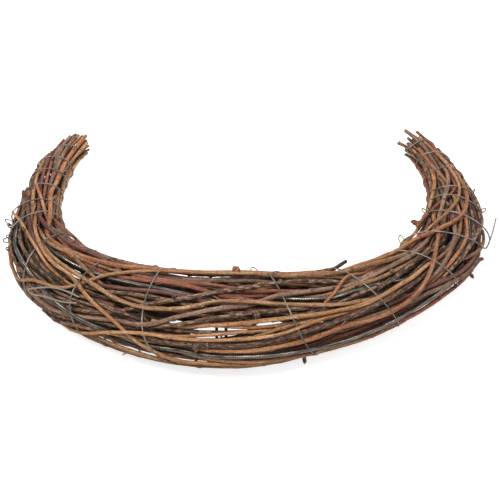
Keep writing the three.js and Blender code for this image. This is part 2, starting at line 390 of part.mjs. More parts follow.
function makeShoot([parentName, radius, ...places], parents) {
  const parent = parents.find(({ name }) => name === parentName);
  const rootFirst = places[0].length === 1;
  const rootAngle = rootFirst ? places[0][0] : places[places.length - 1][0];
  const rootPoint = parent.points.find(({ angle }) => angle === rootAngle);
  const near = rootFirst ? places[1] : places[places.length - 2];
  const root = [rootAngle, near[1], near[2]];
  const route = rootFirst ? [root, ...places.slice(1)] : [...places.slice(0, -1), root];
  const shoot = makeStrand([parentName, parent.finish, radius, ...route]);
  shoot.rootPoint = rootPoint;
  shoot.rootRadius = Math.min(radius, shootRootScale * parent.radius);
  shoot.root = rootFirst ? shoot.points[0] : shoot.points[shoot.points.length - 1];
  return shoot;
}

function pinRoot({ root, rootPoint }) {
  root.r = rootPoint.r;
  root.z = rootPoint.z;
  refresh(root);
}

// Nearest points of two segments: the share along each, and the vector between them
function closest(p0, p1, q0, q1) {
  const u = [p1.x - p0.x, p1.y - p0.y, p1.z - p0.z];
  const v = [q1.x - q0.x, q1.y - q0.y, q1.z - q0.z];
  const w = [p0.x - q0.x, p0.y - q0.y, p0.z - q0.z];
  const dot = (m, n) => m[0] * n[0] + m[1] * n[1] + m[2] * n[2];
  const [a, b, c, d, e] = [dot(u, u), dot(u, v), dot(v, v), dot(u, w), dot(v, w)];
  const across = a * c - b * b;
  let s = across > 1e-9 ? THREE.MathUtils.clamp((b * e - c * d) / across, 0, 1) : 0.5;
  let t = THREE.MathUtils.clamp((b * s + e) / c, 0, 1);
  s = THREE.MathUtils.clamp((b * t - d) / a, 0, 1);
  t = THREE.MathUtils.clamp((b * s + e) / c, 0, 1);
  const n = w.map((value, i) => value + s * u[i] - t * v[i]);
  return { s, t, n, distance: Math.hypot(...n) };
}

// Points slide only in their own section plane
function slide(point, share, n) {
  point.r += share * (n[0] * point.sin - n[1] * point.cos);
  point.z += share * n[2];
  refresh(point);
}

function segmentsOf(strands) {
  return strands.flatMap(({ points, radius, family, rootPoint }, owner) => points.slice(1).map((end, i) => {
    const middle = (points[i].angle + end.angle) / 2;
    return { owner, family, radius, start: points[i], end, middle, rootAngle: rootPoint?.angle };
  }));
}

function canTouch(p, q) {
  if (p.owner === q.owner || Math.abs(p.middle - q.middle) > 2 * stationStep) return false;
  if (p.family !== q.family) return true;
  const rootAngle = p.rootAngle ?? q.rootAngle;
  return Math.max(Math.abs(p.middle - rootAngle), Math.abs(q.middle - rootAngle)) > shootFreeAngle;
}

function neighbourPairs(segments) {
  const pairs = [];
  segments.forEach((p, i) => {
    for (const q of segments.slice(i + 1)) {
      if (!canTouch(p, q)) continue;
      if (closest(p.start, p.end, q.start, q.end).distance < neighbourReach) pairs.push([p, q]);
    }
  });
  return pairs;
}

function pushApart(pairs) {
  for (const [p, q] of pairs) {
    const { s, t, n, distance } = closest(p.start, p.end, q.start, q.end);
    const wanted = p.radius + q.radius + stemGap;
    if (distance >= wanted || distance < 1e-6) continue;
    const weight = (1 - s) ** 2 + s ** 2 + (1 - t) ** 2 + t ** 2;
    const push = (wanted - distance) / distance / weight;
    slide(p.start, push * (1 - s), n);
    slide(p.end, push * s, n);
    slide(q.start, -push * (1 - t), n);
    slide(q.end, -push * t, n);
  }
}

function keepInside({ points, radius }) {
  for (const point of points.filter(({ free }) => !free)) {
    const x = (point.r - point.hull.r) / (point.hull.a - radius);
    const z = (point.z - point.hull.z) / (point.hull.b - radius);
    const out = Math.max(Math.hypot(x, z), 1);
    point.r = point.hull.r + (point.r - point.hull.r) / out;
    point.z = point.hull.z + (point.z - point.hull.z) / out;
    refresh(point);
  }
}

function pullHome({ points }, pull) {
  const shifts = points.map((point) => [point.r - point.homeR, point.z - point.homeZ]);
  const smooth = routeSmoothing * Math.min(1, (2 * pull) / pullToRoute);
  points.forEach((point, i) => {
    const before = shifts[Math.max(i - 1, 0)];
    const after = shifts[Math.min(i + 1, shifts.length - 1)];
    point.r += smooth * ((before[0] + after[0]) / 2 - shifts[i][0]) - pull * shifts[i][0];
    point.z += smooth * ((before[1] + after[1]) / 2 - shifts[i][1]) - pull * shifts[i][1];
    refresh(point);
  });
}

function settle(strands, shoots) {
  const segments = segmentsOf(strands);
  let pairs = [];
  for (let step = 0; step < settleSteps + hardSteps; step++) {
    if (step % neighbourEvery === 0) pairs = neighbourPairs(segments);
    const pull = pullToRoute * Math.max(0, 1 - step / settleSteps);
    if (pull > 0) strands.forEach((strand) => pullHome(strand, pull));
    pushApart(pairs);
    strands.forEach(keepInside);
    if (pull === 0) pushApart(pairs);
    shoots.forEach(pinRoot);
  }
}

// A closed cylinder bent so that its rings follow the given places
function bentCylinder(sides, ringCount, placeVertex) {
  const cylinder = new THREE.CylinderGeometry(1, 1, 1, sides, ringCount - 1);
  cylinder.deleteAttribute("normal");
  cylinder.deleteAttribute("uv");
  const geometry = mergeVertices(cylinder);
  const position = geometry.attributes.position;
  for (let i = 0; i < position.count; i++) {
    const ring = Math.round((0.5 - position.getY(i)) * (ringCount - 1));
    const vertex = placeVertex(ring, position.getX(i), position.getZ(i));
    position.setXYZ(i, vertex.x, vertex.y, vertex.z);
  }
  return geometry;
}

function directionAt(centres, i) {
  const ahead = centres[Math.min(i + 1, centres.length - 1)];
  return ahead.clone().sub(centres[Math.max(i - 1, 0)]).normalize();
}

// Rings of a stem lie in its section planes, and its ends are cut flat
function strandGeometry({ points, radius, root, rootRadius }, sides) {
  const centres = points.map(toVector);
  const count = points.length - 1;
  return bentCylinder(sides, points.length, (i, x, z) => {
    const along = directionAt(centres, i);
    const plane = new THREE.Vector3(points[i].cos, points[i].sin, 0);
    const side = new THREE.Vector3(0, 0, 1).cross(along).normalize();
    const up = new THREE.Vector3().crossVectors(along, side);
    const tapered = radius * (1 - stemTaper * Math.abs((2 * i) / count - 1));
    const ringRadius = points[i] === root ? rootRadius : tapered;
    const spoke = side.multiplyScalar(x * ringRadius).addScaledVector(up, z * ringRadius);
    spoke.addScaledVector(along, -spoke.dot(plane) / along.dot(plane));
    return spoke.add(centres[i]);
  });
}

// Rings of a wire are square to it and turn as little as possible from one to the next
function wireGeometry(path) {
  const centres = path.map(toVector);
  const frames = [];
  centres.forEach((_, i) => {
    const along = directionAt(centres, i);
    const side = i > 0 ? frames[i - 1].side.clone() : new THREE.Vector3(along.z, along.x, along.y);
    side.addScaledVector(along, -side.dot(along)).normalize();
    frames.push({ side, up: new THREE.Vector3().crossVectors(along, side) });
  });
  return bentCylinder(wireSides, path.length, (i, x, z) => {
    const spoke = frames[i].side.clone().multiplyScalar(x * wireRadius);
    return spoke.addScaledVector(frames[i].up, z * wireRadius).add(centres[i]);
  });
}

// Wire laid round the settled bundle
function supportAt(segments, angle, section) {
  let best = { reach: -Infinity };
  for (const { start, end, radius } of segments) {
    const t = (angle - start.angle) / (end.angle - start.angle);
    if (!(t >= 0 && t <= 1)) continue;
    const r = THREE.MathUtils.lerp(start.r, end.r, t);
    const z = THREE.MathUtils.lerp(start.z, end.z, t);
    const reach = r * Math.cos(section) + z * Math.sin(section) + radius;
    if (reach > best.reach) best = { r, z, radius, reach };
  }
  return best;
}

function wirePoint(segments, angle, section, height) {
  const carrier = supportAt(segments, angle, section * degrees);
  const off = carrier.radius + wireRadius + wireGap + height;
  const outward = [Math.cos(section * degrees), Math.sin(section * degrees)];
  const point = planePoint(angle, carrier.r + off * outward[0], carrier.z + off * outward[1]);
  return { ...point, outward, reach: carrier.reach + wireRadius + wireGap };
}

function turnedPath(segments, turns, slacks, winding) {
  const sections = winding < 0 ? [wireInnerSection, 0] : [0, wireInnerSection];
  const knots = turns.flatMap((pair, turn) => {
    return sections.map((section, k) => [section + winding * 360 * turn, pair[k]]);
  });
  const [startSection, endSection] = [knots[0][0], knots[knots.length - 1][0]];
  const steps = Math.round((Math.abs(endSection - startSection) / 360) * wireStepsPerTurn);
  return eased(Array.from({ length: steps + 1 }, (_, i) => {
    const section = startSection + ((endSection - startSection) * i) / steps;
    let k = 1;
    while (k < knots.length - 1 && winding * (knots[k][0] - section) < 0) k++;
    const t = (section - knots[k - 1][0]) / (knots[k][0] - knots[k - 1][0]);
    const angle = THREE.MathUtils.lerp(knots[k - 1][1], knots[k][1], t);
    const height = slacks.reduce((sum, [turn, at, most]) => {
      const off = Math.abs(section - at - winding * 360 * turn) / slackWidth;
      return sum + (off < 1 ? (most * (1 + Math.cos(Math.PI * off))) / 2 : 0);
    }, 0);
    return wirePoint(segments, angle, section, height);
  }));
}

// Stiff wire rounds its corners but stays outside the bundle: each point moves toward the middle of
// its neighbours, and back out to where the stems hold it
function eased(path) {
  for (let pass = 0; pass < wireEasingPasses; pass++) {
    const before = path.map(({ r, z }) => [r, z]);
    for (let i = 1; i < path.length - 1; i++) {
      const { outward, reach } = path[i];
      const r = before[i][0] + wireEasing * ((before[i - 1][0] + before[i + 1][0]) / 2 - before[i][0]);
      const z = before[i][1] + wireEasing * ((before[i - 1][1] + before[i + 1][1]) / 2 - before[i][1]);
      const lack = Math.max(0, reach - r * outward[0] - z * outward[1]);
      path[i].r = r + lack * outward[0];
      path[i].z = Math.max(z + lack * outward[1], wireFloor + wireRadius);
      refresh(path[i]);
    }
  }
  return path;
}

// A strand laid across the skin of the bundle, over the hollows between the stems
function foldedPath(route) {
  const places = route.slice(1).flatMap((to, i) => Array.from({ length: tieStepsPerPlace }, (_, k) => {
    const t = k / tieStepsPerPlace;
    return [THREE.MathUtils.lerp(route[i][0], to[0], t), THREE.MathUtils.lerp(route[i][1], to[1], t)];
  }));
  return [...places, route[route.length - 1]].map(([angle, section]) => {
    const { r, z, a, b } = envelopeAt(angle);
    const [halfWide, halfHigh] = [a + wireRadius + wireGap, b + wireRadius + wireGap];
    const [across, over] = [Math.cos(section * degrees), Math.sin(section * degrees)];
    return planePoint(angle, r + halfWide * across, z + halfHigh * over);
  });
}

// Where a wire is wedged between two stems it is lifted straight out of the bundle
function lift(point, amount) {
  const [outR, outZ] = point.outward ?? [0, 0];
  point.r += amount * outR;
  point.z += amount * outZ;
  refresh(point);
}

// Push a wire off what it lies on, which stays where it is
const clearingPasses = 90;
const firstLiftingPass = 40;
const clearingDone = 0.005;
function clearOf(path, obstacles) {
  for (let pass = 0; pass < clearingPasses; pass++) {
    let worst = 0;
    for (let i = 1; i < path.length; i++) {
      for (const { start, end, radius, middle } of obstacles) {
        if (Math.abs(middle - path[i].angle) > 2 * stationStep) continue;
        const { s, n, distance } = closest(path[i - 1], path[i], start, end);
        const lack = radius + wireRadius + wireGap - distance;
        if (lack <= 0) continue;
        worst = Math.max(worst, lack);
        const push = lack / Math.max(distance, wireRadius) / ((1 - s) ** 2 + s ** 2);
        slide(path[i - 1], push * (1 - s), n);
        slide(path[i], push * s, n);
        if (pass < firstLiftingPass) continue;
        lift(path[i - 1], lack);
        lift(path[i], lack);
      }
    }
    for (const point of path) point.z = Math.max(point.z, wireFloor + wireRadius);
    if (worst < clearingDone) break;
  }
  return path;
}

function pathSegments(path) {
  return path.slice(1).map((end, i) => {
    return { start: path[i], end, radius: wireRadius, middle: (path[i].angle + end.angle) / 2 };
  });
}

// Buds and feet grow from a stem's middle
function pointOn({ points }, angle) {
  const i = points.findIndex((point, k) => k > 0 && point.angle >= angle);
  const t = (angle - points[i - 1].angle) / (points[i].angle - points[i - 1].angle);
  const r = THREE.MathUtils.lerp(points[i - 1].r, points[i].r, t);
  return planePoint(angle, r, THREE.MathUtils.lerp(points[i - 1].z, points[i].z, t));
}

function makeBud(strands, [name, angle, section, length, radius]) {
  const start = pointOn(strands.find((strand) => strand.name === name), angle);
  const r = start.r + length * Math.cos(section * degrees);
  const end = planePoint(angle, r, start.z + length * Math.sin(section * degrees));
  return { name, start, end, radius, middle: angle, sides: budSides, taper: budTaper };
}

function makeFoot(strands, [name, angle]) {
  const start = pointOn(strands.find((strand) => strand.name === name), angle);
  const end = planePoint(angle, start.r, 0);
  return { name, start, end, radius: footRadius, middle: angle, sides: footSides, taper: budTaper };
}

function budGeometry({ start, end, radius, sides, taper }) {
  const [from, to] = [toVector(start), toVector(end)];
  const geometry = new THREE.CylinderGeometry(radius * taper, radius, from.distanceTo(to), sides);
  const along = to.clone().sub(from).normalize();
  geometry.applyQuaternion(new THREE.Quaternion().setFromUnitVectors(new THREE.Vector3(0, 1, 0), along));
  geometry.translate(...from.add(to).multiplyScalar(0.5));
  geometry.deleteAttribute("normal");
  geometry.deleteAttribute("uv");
  return mergeVertices(geometry);
}

function toSolid(geometry) {
  const vertProperties = Float32Array.from(geometry.attributes.position.array);
  const triVerts = Uint32Array.from(geometry.index.array);
  return new wasm.Manifold(new wasm.Mesh({ numProp: 3, vertProperties, triVerts }));
}

function fuse(geometries) {
  if (geometries.length === 1) return geometries[0];
  const { vertProperties, triVerts } = wasm.Manifold.union(geometries.map(toSolid)).getMesh();
  const geometry = new THREE.BufferGeometry();
  geometry.setAttribute("position", new THREE.BufferAttribute(vertProperties, 3));
  geometry.setIndex(new THREE.BufferAttribute(triVerts, 1));
  return geometry;
}

function toMesh(name, finish, geometry) {
  geometry.computeVertexNormals();
  const mesh = new THREE.Mesh(geometry, new THREE.MeshStandardMaterial(finishes[finish]));
  mesh.name = name;
  return mesh;
}

const parents = [...rods, ...stems].map(makeStrand);
const shoots = sideShoots.map((record) => makeShoot(record, parents));
const strands = [...parents, ...shoots];
settle(strands, shoots);

const stubs = [
  ...buds.map((record) => makeBud(strands, record)),
  ...feet.map((record) => makeFoot(strands, record)),
];
const obstacles = [...segmentsOf(strands), ...stubs];
const tie = clearOf(foldedPath(tieRoute), obstacles);
obstacles.push(...pathSegments(tie));
const leftTurns = turnedPath(obstacles, leftWireTurns, leftWireSlack, -1);
const lastTurn = -360 * (leftWireTurns.length - 1);
for (const [section, angle, height] of freeEnd) {
  leftTurns.push(wirePoint(obstacles, angle, lastTurn + section, height));
}
const leftWire = clearOf(leftTurns, obstacles);
obstacles.push(...pathSegments(leftWire));
const rightWire = clearOf(turnedPath(obstacles, rightWireTurns, rightWireSlack, 1), obstacles);

const wreath = new THREE.Group();
wreath.position.set(-boxMiddle[0], -boxMiddle[1], 0);
for (const { name, finish } of parents) {
  const grown = strands.filter((strand) => strand.name === name);
  const sides = finish === "steel" ? rodSides : stemSides;
  const pieces = [
    ...grown.map((strand) => strandGeometry(strand, sides)),
    ...stubs.filter((stub) => stub.name === name).map(budGeometry),
  ];
  wreath.add(toMesh(name, finish, fuse(pieces)));
}
wreath.add(toMesh("tie_strand", "iron", wireGeometry(tie)));
wreath.add(toMesh("binding_wire_left", "iron", wireGeometry(leftWire)));
wreath.add(toMesh("binding_wire_right", "iron", wireGeometry(rightWire)));

export default wreath;
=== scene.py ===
import json
import math
from functools import partial

import bpy
import numpy as np
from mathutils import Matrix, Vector


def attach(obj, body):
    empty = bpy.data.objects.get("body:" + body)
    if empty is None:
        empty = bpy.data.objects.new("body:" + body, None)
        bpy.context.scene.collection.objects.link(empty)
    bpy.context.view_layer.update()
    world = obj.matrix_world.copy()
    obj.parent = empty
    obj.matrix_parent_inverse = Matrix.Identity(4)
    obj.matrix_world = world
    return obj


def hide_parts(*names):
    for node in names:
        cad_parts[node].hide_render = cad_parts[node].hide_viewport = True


# A crescent of woody vines on two steel rods, bound round with iron wire and lying on a pale floor.
# A place in the bundle is a ring angle round the vertical ring axis (degrees, 0 in the middle of the
# front, negative to the left) and a section angle (degrees, 0 outward, 90 up, 180 toward the hole).

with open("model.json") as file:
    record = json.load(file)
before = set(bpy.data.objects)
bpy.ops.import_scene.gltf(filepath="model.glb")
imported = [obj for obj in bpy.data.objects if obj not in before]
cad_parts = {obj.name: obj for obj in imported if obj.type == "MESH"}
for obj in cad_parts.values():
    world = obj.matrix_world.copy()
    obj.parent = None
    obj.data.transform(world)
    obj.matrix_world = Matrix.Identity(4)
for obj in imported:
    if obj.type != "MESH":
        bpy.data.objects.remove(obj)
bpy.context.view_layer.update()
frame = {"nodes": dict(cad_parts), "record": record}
print("frame loaded:", len(frame["nodes"]), "nodes")

mm = 0.001
ringAxis = np.array([-0.0006, 0.0344])
stationStep = 8.0                       # degrees between the common section planes


# Camera, floor and light

view = {
    "target": (-0.0006, 0.0094, 0.030),
    "elevation": 37.0,
    "distance": 1.3,
    "lens": 111.85,
    "sensor": 36,
    "shift": (0.004, -0.053),
    "clip": (0.05, 20),
}
studio = {
    "floorSize": 12.0,
    "floorColor": (222, 220, 217),
    "floorRoughness": 0.9,
    "floorSpecular": 0.1,
    "floorGlow": 0.74,                  # how far the paper is lit up from behind, as the camera sees it
    "worldColor": (255, 255, 255),
    "worldStrength": 0.42,
    # name: place, size, watts, colour
    "lights": {
        "keyLight": ((-0.8, -0.9, 2.0), 1.1, 49.0, (255, 249, 240)),
        "fillLight": ((1.5, -0.9, 1.4), 1.6, 13.0, (246, 249, 255)),
        "rimLight": ((0.3, 1.7, 1.7), 1.3, 17.0, (255, 255, 255)),
    },
}


def linear(color):                      # 0-255 display values to the scene's linear values
    shares = [value / 255 for value in color]
    return tuple(s / 12.92 if s <= 0.04045 else ((s + 0.055) / 1.055) ** 2.4 for s in shares)


def rgba(color):
    return (*linear(color), 1.0)


def placeAndAim(name, data, place):     # links a camera or a light that looks at the target
    thing = bpy.data.objects.new(name, data)
    thing.location = place
    thing.rotation_mode = "QUATERNION"
    thing.rotation_quaternion = (Vector(view["target"]) - Vector(place)).to_track_quat("-Z", "Y")
    bpy.context.scene.collection.objects.link(thing)
    return thing


def addCamera():
    tilt = math.radians(view["elevation"])
    back = Vector((0, -math.cos(tilt), math.sin(tilt)))
    data = bpy.data.cameras.new("camera")
    data.lens = view["lens"]
    data.sensor_width = view["sensor"]
    data.shift_x, data.shift_y = view["shift"]
    data.clip_start, data.clip_end = view["clip"]
    bpy.context.scene.camera = placeAndAim("camera", data, Vector(view["target"]) + back * view["distance"])


def addLight(name, place, size, power, color):
    data = bpy.data.lights.new(name, "AREA")
    data.shape = "DISK"
    data.size = size
    data.energy = power
    data.color = linear(color)
    placeAndAim(name, data, place)


def newMaterial(name, **values):        # values are constants of its Principled shader, by the socket's name
    material = bpy.data.materials.new(name)
    material.use_nodes = True
    shader = material.node_tree.nodes["Principled BSDF"]
    for label, value in values.items():
        shader.inputs[label.replace("_", " ")].default_value = value
    return material, material.node_tree, shader


def addFloor():
    half = studio["floorSize"] / 2
    mesh = bpy.data.meshes.new("floor")
    mesh.from_pydata([(-half, -half, 0), (half, -half, 0), (half, half, 0), (-half, half, 0)], [], [(0, 1, 2, 3)])
    floor = bpy.data.objects.new("floor", mesh)
    bpy.context.scene.collection.objects.link(floor)
    paper, tree, shader = newMaterial(
        "floorPaper", Base_Color=rgba(studio["floorColor"]), Roughness=studio["floorRoughness"],
        Specular_IOR_Level=studio["floorSpecular"], Emission_Color=(1, 1, 1, 1))
    path = tree.nodes.new("ShaderNodeLightPath")
    glow = tree.nodes.new("ShaderNodeMapRange")
    glow.inputs["To Max"].default_value = studio["floorGlow"]
    tree.links.new(path.outputs["Is Camera Ray"], glow.inputs["Value"])
    tree.links.new(glow.outputs["Result"], shader.inputs["Emission Strength"])
    mesh.materials.append(paper)


def addWorld():
    world = bpy.data.worlds.new("studio")
    world.use_nodes = True
    background = world.node_tree.nodes["Background"]
    background.inputs["Color"].default_value = rgba(studio["worldColor"])
    background.inputs["Strength"].default_value = studio["worldStrength"]
    bpy.context.scene.world = world


addCamera()
addWorld()
addFloor()
for lightName, (place, size, power, color) in studio["lights"].items():
    addLight(lightName, place, size, power, color)
bpy.context.scene.view_settings.view_transform = "Standard"
print("studio ready")


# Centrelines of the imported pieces

reading = {
    "onePlane": 0.02,                   # degrees within which corners lie in one plane
    "onStation": 0.03,                  # degrees that a ring may lie off its station
    "leastCorners": 5,                  # of a ring
    "twoStems": 9,                      # corners from which a loop is two stems that touch
    "leastGap": 0.5,                    # degrees between two linked rings
    "mostGap": 2.1,                     # stations that a link may span
    "rootGap": 1.2,                     # stations from an open end to its root
    "rootAhead": 0.8,                   # share of the last step that an open end runs on
    "keepOn": 0.7,                      # share of its slope that a stem keeps
    "sharedMiss": 6.0,                  # millimetres that linked rings may miss by, with a shared edge
    "looseMiss": 2.5,                   # and without one
    "sharedWorth": 1.2,                 # millimetres that a shared edge makes up for
    "sureEdges": 3,                     # shared edges that need no more proof
}


def mergedMesh(node):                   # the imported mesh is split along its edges, so equal corners are joined
    mesh = node.data
    corners = np.empty(len(mesh.vertices) * 3)
    mesh.vertices.foreach_get("co", corners)
    places, shared = np.unique(corners.reshape(-1, 3).round(7), axis=0, return_inverse=True)
    ends = np.empty(len(mesh.edges) * 2, int)
    mesh.edges.foreach_get("vertices", ends)
    neighbours = [set() for _ in places]
    for a, b in shared.ravel()[ends].reshape(-1, 2):
        if a != b:
            neighbours[a].add(int(b))
            neighbours[b].add(int(a))
    return places, neighbours


def ringAngleOf(points):
    points = np.atleast_2d(points)
    return np.degrees(np.arctan2(points[:, 0] - ringAxis[0], ringAxis[1] - points[:, 1]))


def connected(members, neighbours):     # the separate loops among corners that share a plane
    left, loops = set(members), []
    while left:
        loop, reached = [], [left.pop()]
        while reached:
            corner = reached.pop()
            loop.append(corner)
            found = neighbours[corner] & left
            left -= found
            reached.extend(found)
        loops.append(loop)
    return loops


def splitTouching(loop, places):        # two stems that touch in one plane make one loop
    if len(loop) < reading["twoStems"]:
        return [loop]
    spread = places[loop] - places[loop].mean(axis=0)
    axis = np.linalg.svd(spread, full_matrices=False)[2][0]
    side = spread @ axis
    return [[c for c, s in zip(loop, side) if s < 0], [c for c, s in zip(loop, side) if s >= 0]]


def stationRings(places, neighbours):
    angles = ringAngleOf(places)
    order = np.argsort(angles)
    breaks = np.flatnonzero(np.diff(angles[order]) > reading["onePlane"]) + 1
    rings = []
    for members in np.split(order, breaks):
        angle = float(angles[members].mean())
        onStation = abs(angle / stationStep - round(angle / stationStep)) * stationStep < reading["onStation"]
        for loop in connected([int(m) for m in members], neighbours):
            isCap = any(len(neighbours[c]) >= 5 and neighbours[c] <= set(loop) for c in loop)
            if len(loop) >= reading["leastCorners"] and (onStation or isCap):
                for part in splitTouching(loop, places):
                    middle = places[part].mean(axis=0)
                    place = np.array([math.dist(middle[:2], ringAxis), middle[2]])
                    rings.append({"angle": angle, "loop": part, "isCap": isCap, "place": place})
    return sorted(rings, key=lambda ring: ring["angle"])


def linkRings(rings, neighbours):       # rings that share edges of the mesh and run on smoothly make one stem
    owner = {corner: i for i, ring in enumerate(rings) for corner in ring["loop"]}
    votes = {}
    for i, ring in enumerate(rings):
        for corner in ring["loop"]:
            for other in neighbours[corner]:
                j = owner.get(other, i)
                votes[i, j] = votes.get((i, j), 0) + (j != i)
    before, following = {}, {}

    def misses(i, j):                   # millimetres between where a stem would run on to and the next ring
        here, there = rings[i], rings[j]
        ahead = here["place"]
        if i in before:
            last = rings[before[i]]
            slope = (here["place"] - last["place"]) / (here["angle"] - last["angle"])
            ahead = ahead + reading["keepOn"] * slope * (there["angle"] - here["angle"])
        return np.linalg.norm(there["place"] - ahead) / mm

    stations = sorted({round(ring["angle"], 2) for ring in rings})
    for station in stations:
        arriving = [j for j, ring in enumerate(rings) if abs(ring["angle"] - station) < reading["onePlane"]]
        tries = []
        for i, ring in enumerate(rings):
            gap = station - ring["angle"]
            inReach = reading["leastGap"] < gap < reading["mostGap"] * stationStep
            if i in following or not inReach or (ring["isCap"] and i in before):
                continue
            for j in arriving:
                if ring["isCap"] and rings[j]["isCap"]:
                    continue
                shared, miss = votes.get((i, j), 0), misses(i, j)
                loose = 0 if ring["isCap"] or rings[j]["isCap"] else reading["looseMiss"]
                if shared >= reading["sureEdges"] or miss < (reading["sharedMiss"] if shared else loose):
                    tries.append((miss - reading["sharedWorth"] * shared, i, j))
        for _, i, j in sorted(tries):
            if i not in following and j not in before:
                following[i], before[j] = j, i
    chains = []
    for i in range(len(rings)):
        if i not in before:
            chain = [i]
            while chain[-1] in following:
                chain.append(following[chain[-1]])
            chains.append([rings[k] for k in chain])
    return sorted(chains, key=len, reverse=True)


def chainLine(chain, places):
    centres = np.array([places[ring["loop"]].mean(axis=0) for ring in chain])
    along = np.gradient(centres, axis=0)
    along /= np.linalg.norm(along, axis=1)[:, None]
    radii = []
    for ring, centre, direction in zip(chain, centres, along):
        spokes = places[ring["loop"]] - centre
        spokes -= np.outer(spokes @ direction, direction)
        reach = np.linalg.norm(spokes, axis=1)
        radii.append(np.median(reach[reach > 0.5 * reach.max()]))
    return {"centres": centres, "radius": float(np.median(radii))}


def readStem(node):                     # the longest line first, and an open end is rooted on the line beside it
    places, neighbours = mergedMesh(node)
    chains = [chain for chain in linkRings(stationRings(places, neighbours), neighbours) if len(chain) > 1]
    lines = [chainLine(chain, places) for chain in chains]
    rooted = []
    for number, (chain, line) in enumerate(zip(chains, lines)):
        centres, ends = line["centres"], []
        others = [(ring["angle"], centre) for other, (links, its) in enumerate(zip(chains, lines)) if other != number
                  for ring, centre in zip(links, its["centres"])]
        for end, inner, way in ((0, 1, -1), (-1, -2, 1)):
            ahead = centres[end] + reading["rootAhead"] * (centres[end] - centres[inner])
            near = [(math.dist(ahead, centre), tuple(centre)) for angle, centre in others
                    if reading["leastGap"] < way * (angle - chain[end]["angle"]) < reading["rootGap"] * stationStep]
            ends.append([] if chain[end]["isCap"] or not near else [min(near)[1]])
        rooted.append({"centres": np.array([*ends[0], *centres, *ends[1]]), "radius": line["radius"],
                       "roots": (bool(ends[0]), bool(ends[1]))})
    return rooted


def layersFrom(start, neighbours):      # rings of a tube are the layers of corners met when walking from one end
    layer, seen, layers = {start}, {start}, []
    while layer:
        layers.append(sorted(layer))
        layer = {n for c in layer for n in neighbours[c]} - seen
        seen |= layer
    return layers


def readWire(node):                     # walks from the middle of an end cap, or else from the corner farthest off
    places, neighbours = mergedMesh(node)
    caps = [c for c in range(len(places)) if len(neighbours[c]) == 4 and all(
        len(neighbours[c] & neighbours[n]) == 2 for n in neighbours[c])]
    start = min(caps, key=lambda c: places[c][0]) if caps else layersFrom(0, neighbours)[-1][0]
    return np.array([places[layer].mean(axis=0) for layer in layersFrom(start, neighbours) if len(layer) > 1])


slotOf = {row["node"]: row["material_slot"] for row in frame["record"]["subparts"]}
stemNodes = [name for name in slotOf if name.startswith("stem_")]
bundleLines = {name: readStem(frame["nodes"][name]) for name in stemNodes}
print("centrelines read:", sum(len(lines) for lines in bundleLines.values()))


# Swept tubes

def smoothLine(points, step, between=24):    # a smooth curve through the points, in equal steps
    points = np.asarray(points, float)
    chords = np.linalg.norm(np.diff(points, axis=0), axis=1)
    knots = np.concatenate([[0], np.cumsum(np.sqrt(chords))])
    slopes = np.empty_like(points)
    spans = np.diff(knots)[:, None]
    rates = np.diff(points, axis=0) / spans
    slopes[1:-1] = (rates[:-1] * spans[1:] + rates[1:] * spans[:-1]) / (spans[:-1] + spans[1:])
    slopes[0], slopes[-1] = rates[0], rates[-1]
    pieces = []
    for i in range(len(points) - 1):
        t = np.linspace(0, 1, between, endpoint=False)[:, None]
        h = spans[i]
        pieces.append((2 * t**3 - 3 * t**2 + 1) * points[i] + (t**3 - 2 * t**2 + t) * h * slopes[i]
                      + (3 * t**2 - 2 * t**3) * points[i + 1] + (t**3 - t**2) * h * slopes[i + 1])
    dense = np.vstack([*pieces, points[-1]])
    lengths = np.concatenate([[0], np.cumsum(np.linalg.norm(np.diff(dense, axis=0), axis=1))])
    count = max(int(round(lengths[-1] / step)), 3)
    at = np.linspace(0, lengths[-1], count + 1)
    return np.stack([np.interp(at, lengths, dense[:, k]) for k in range(3)], axis=1), at


def turningFrames(line):                # directions across the line that turn as little as possible
    along = np.gradient(line, axis=0)
    along /= np.linalg.norm(along, axis=1)[:, None]
    start = np.array([0.0, 0.0, 1.0]) if abs(along[0][2]) < 0.8 else np.array([1.0, 0.0, 0.0])
    across = np.empty_like(line)
    for i, direction in enumerate(along):
        start = start - direction * (start @ direction)
        start /= np.linalg.norm(start)
        across[i] = start
    return along, across, np.cross(along, across)


def newPiece():
    return {"points": [], "faces": [], "finishes": [], "barkAt": [], "tone": [], "mark": [], "count": 0}


def ringPlace(angle, distance, height):
    turn = math.radians(angle)
    return np.array([ringAxis[0] + distance * math.sin(turn), ringAxis[1] - distance * math.cos(turn), height])


def planeDirection(angle, section):
    turn, rise = math.radians(angle), math.radians(section)
    return np.array([math.cos(rise) * math.sin(turn), -math.cos(rise) * math.cos(turn), math.sin(rise)])


def distanceOf(points):                 # from the vertical ring axis
    return np.hypot(points[:, 0] - ringAxis[0], points[:, 1] - ringAxis[1])


outline = {
    "reach": 124,                       # degrees, to both sides
    "every": 4.0,
    "margin": 2 * mm,
    "paintedShadeFrom": 0.84,                 # share of the half size where the painted shade inside begins
    "paintedShadeOver": 0.42,                 # and over which the painted shade gets darkest
}


def bundleOutline():                    # middle and half size of the bundle's section
    angles = np.arange(-outline["reach"], outline["reach"] + 1, outline["every"])
    rows = []
    for angle in angles:
        places = []
        for lines in bundleLines.values():
            for line in lines:
                along = ringAngleOf(line["centres"])
                order = np.argsort(along)
                if along[order[0]] - outline["every"] <= angle <= along[order[-1]] + outline["every"]:
                    distance = np.interp(angle, along[order], distanceOf(line["centres"])[order])
                    places.append((distance, np.interp(angle, along[order], line["centres"][order, 2])))
        low, high = np.min(places, axis=0), np.max(places, axis=0)
        rows.append([*(low + high) / 2, *(high - low) / 2 + outline["margin"]])
    return angles, np.array(rows)


outlineAngles, outlineRows = bundleOutline()


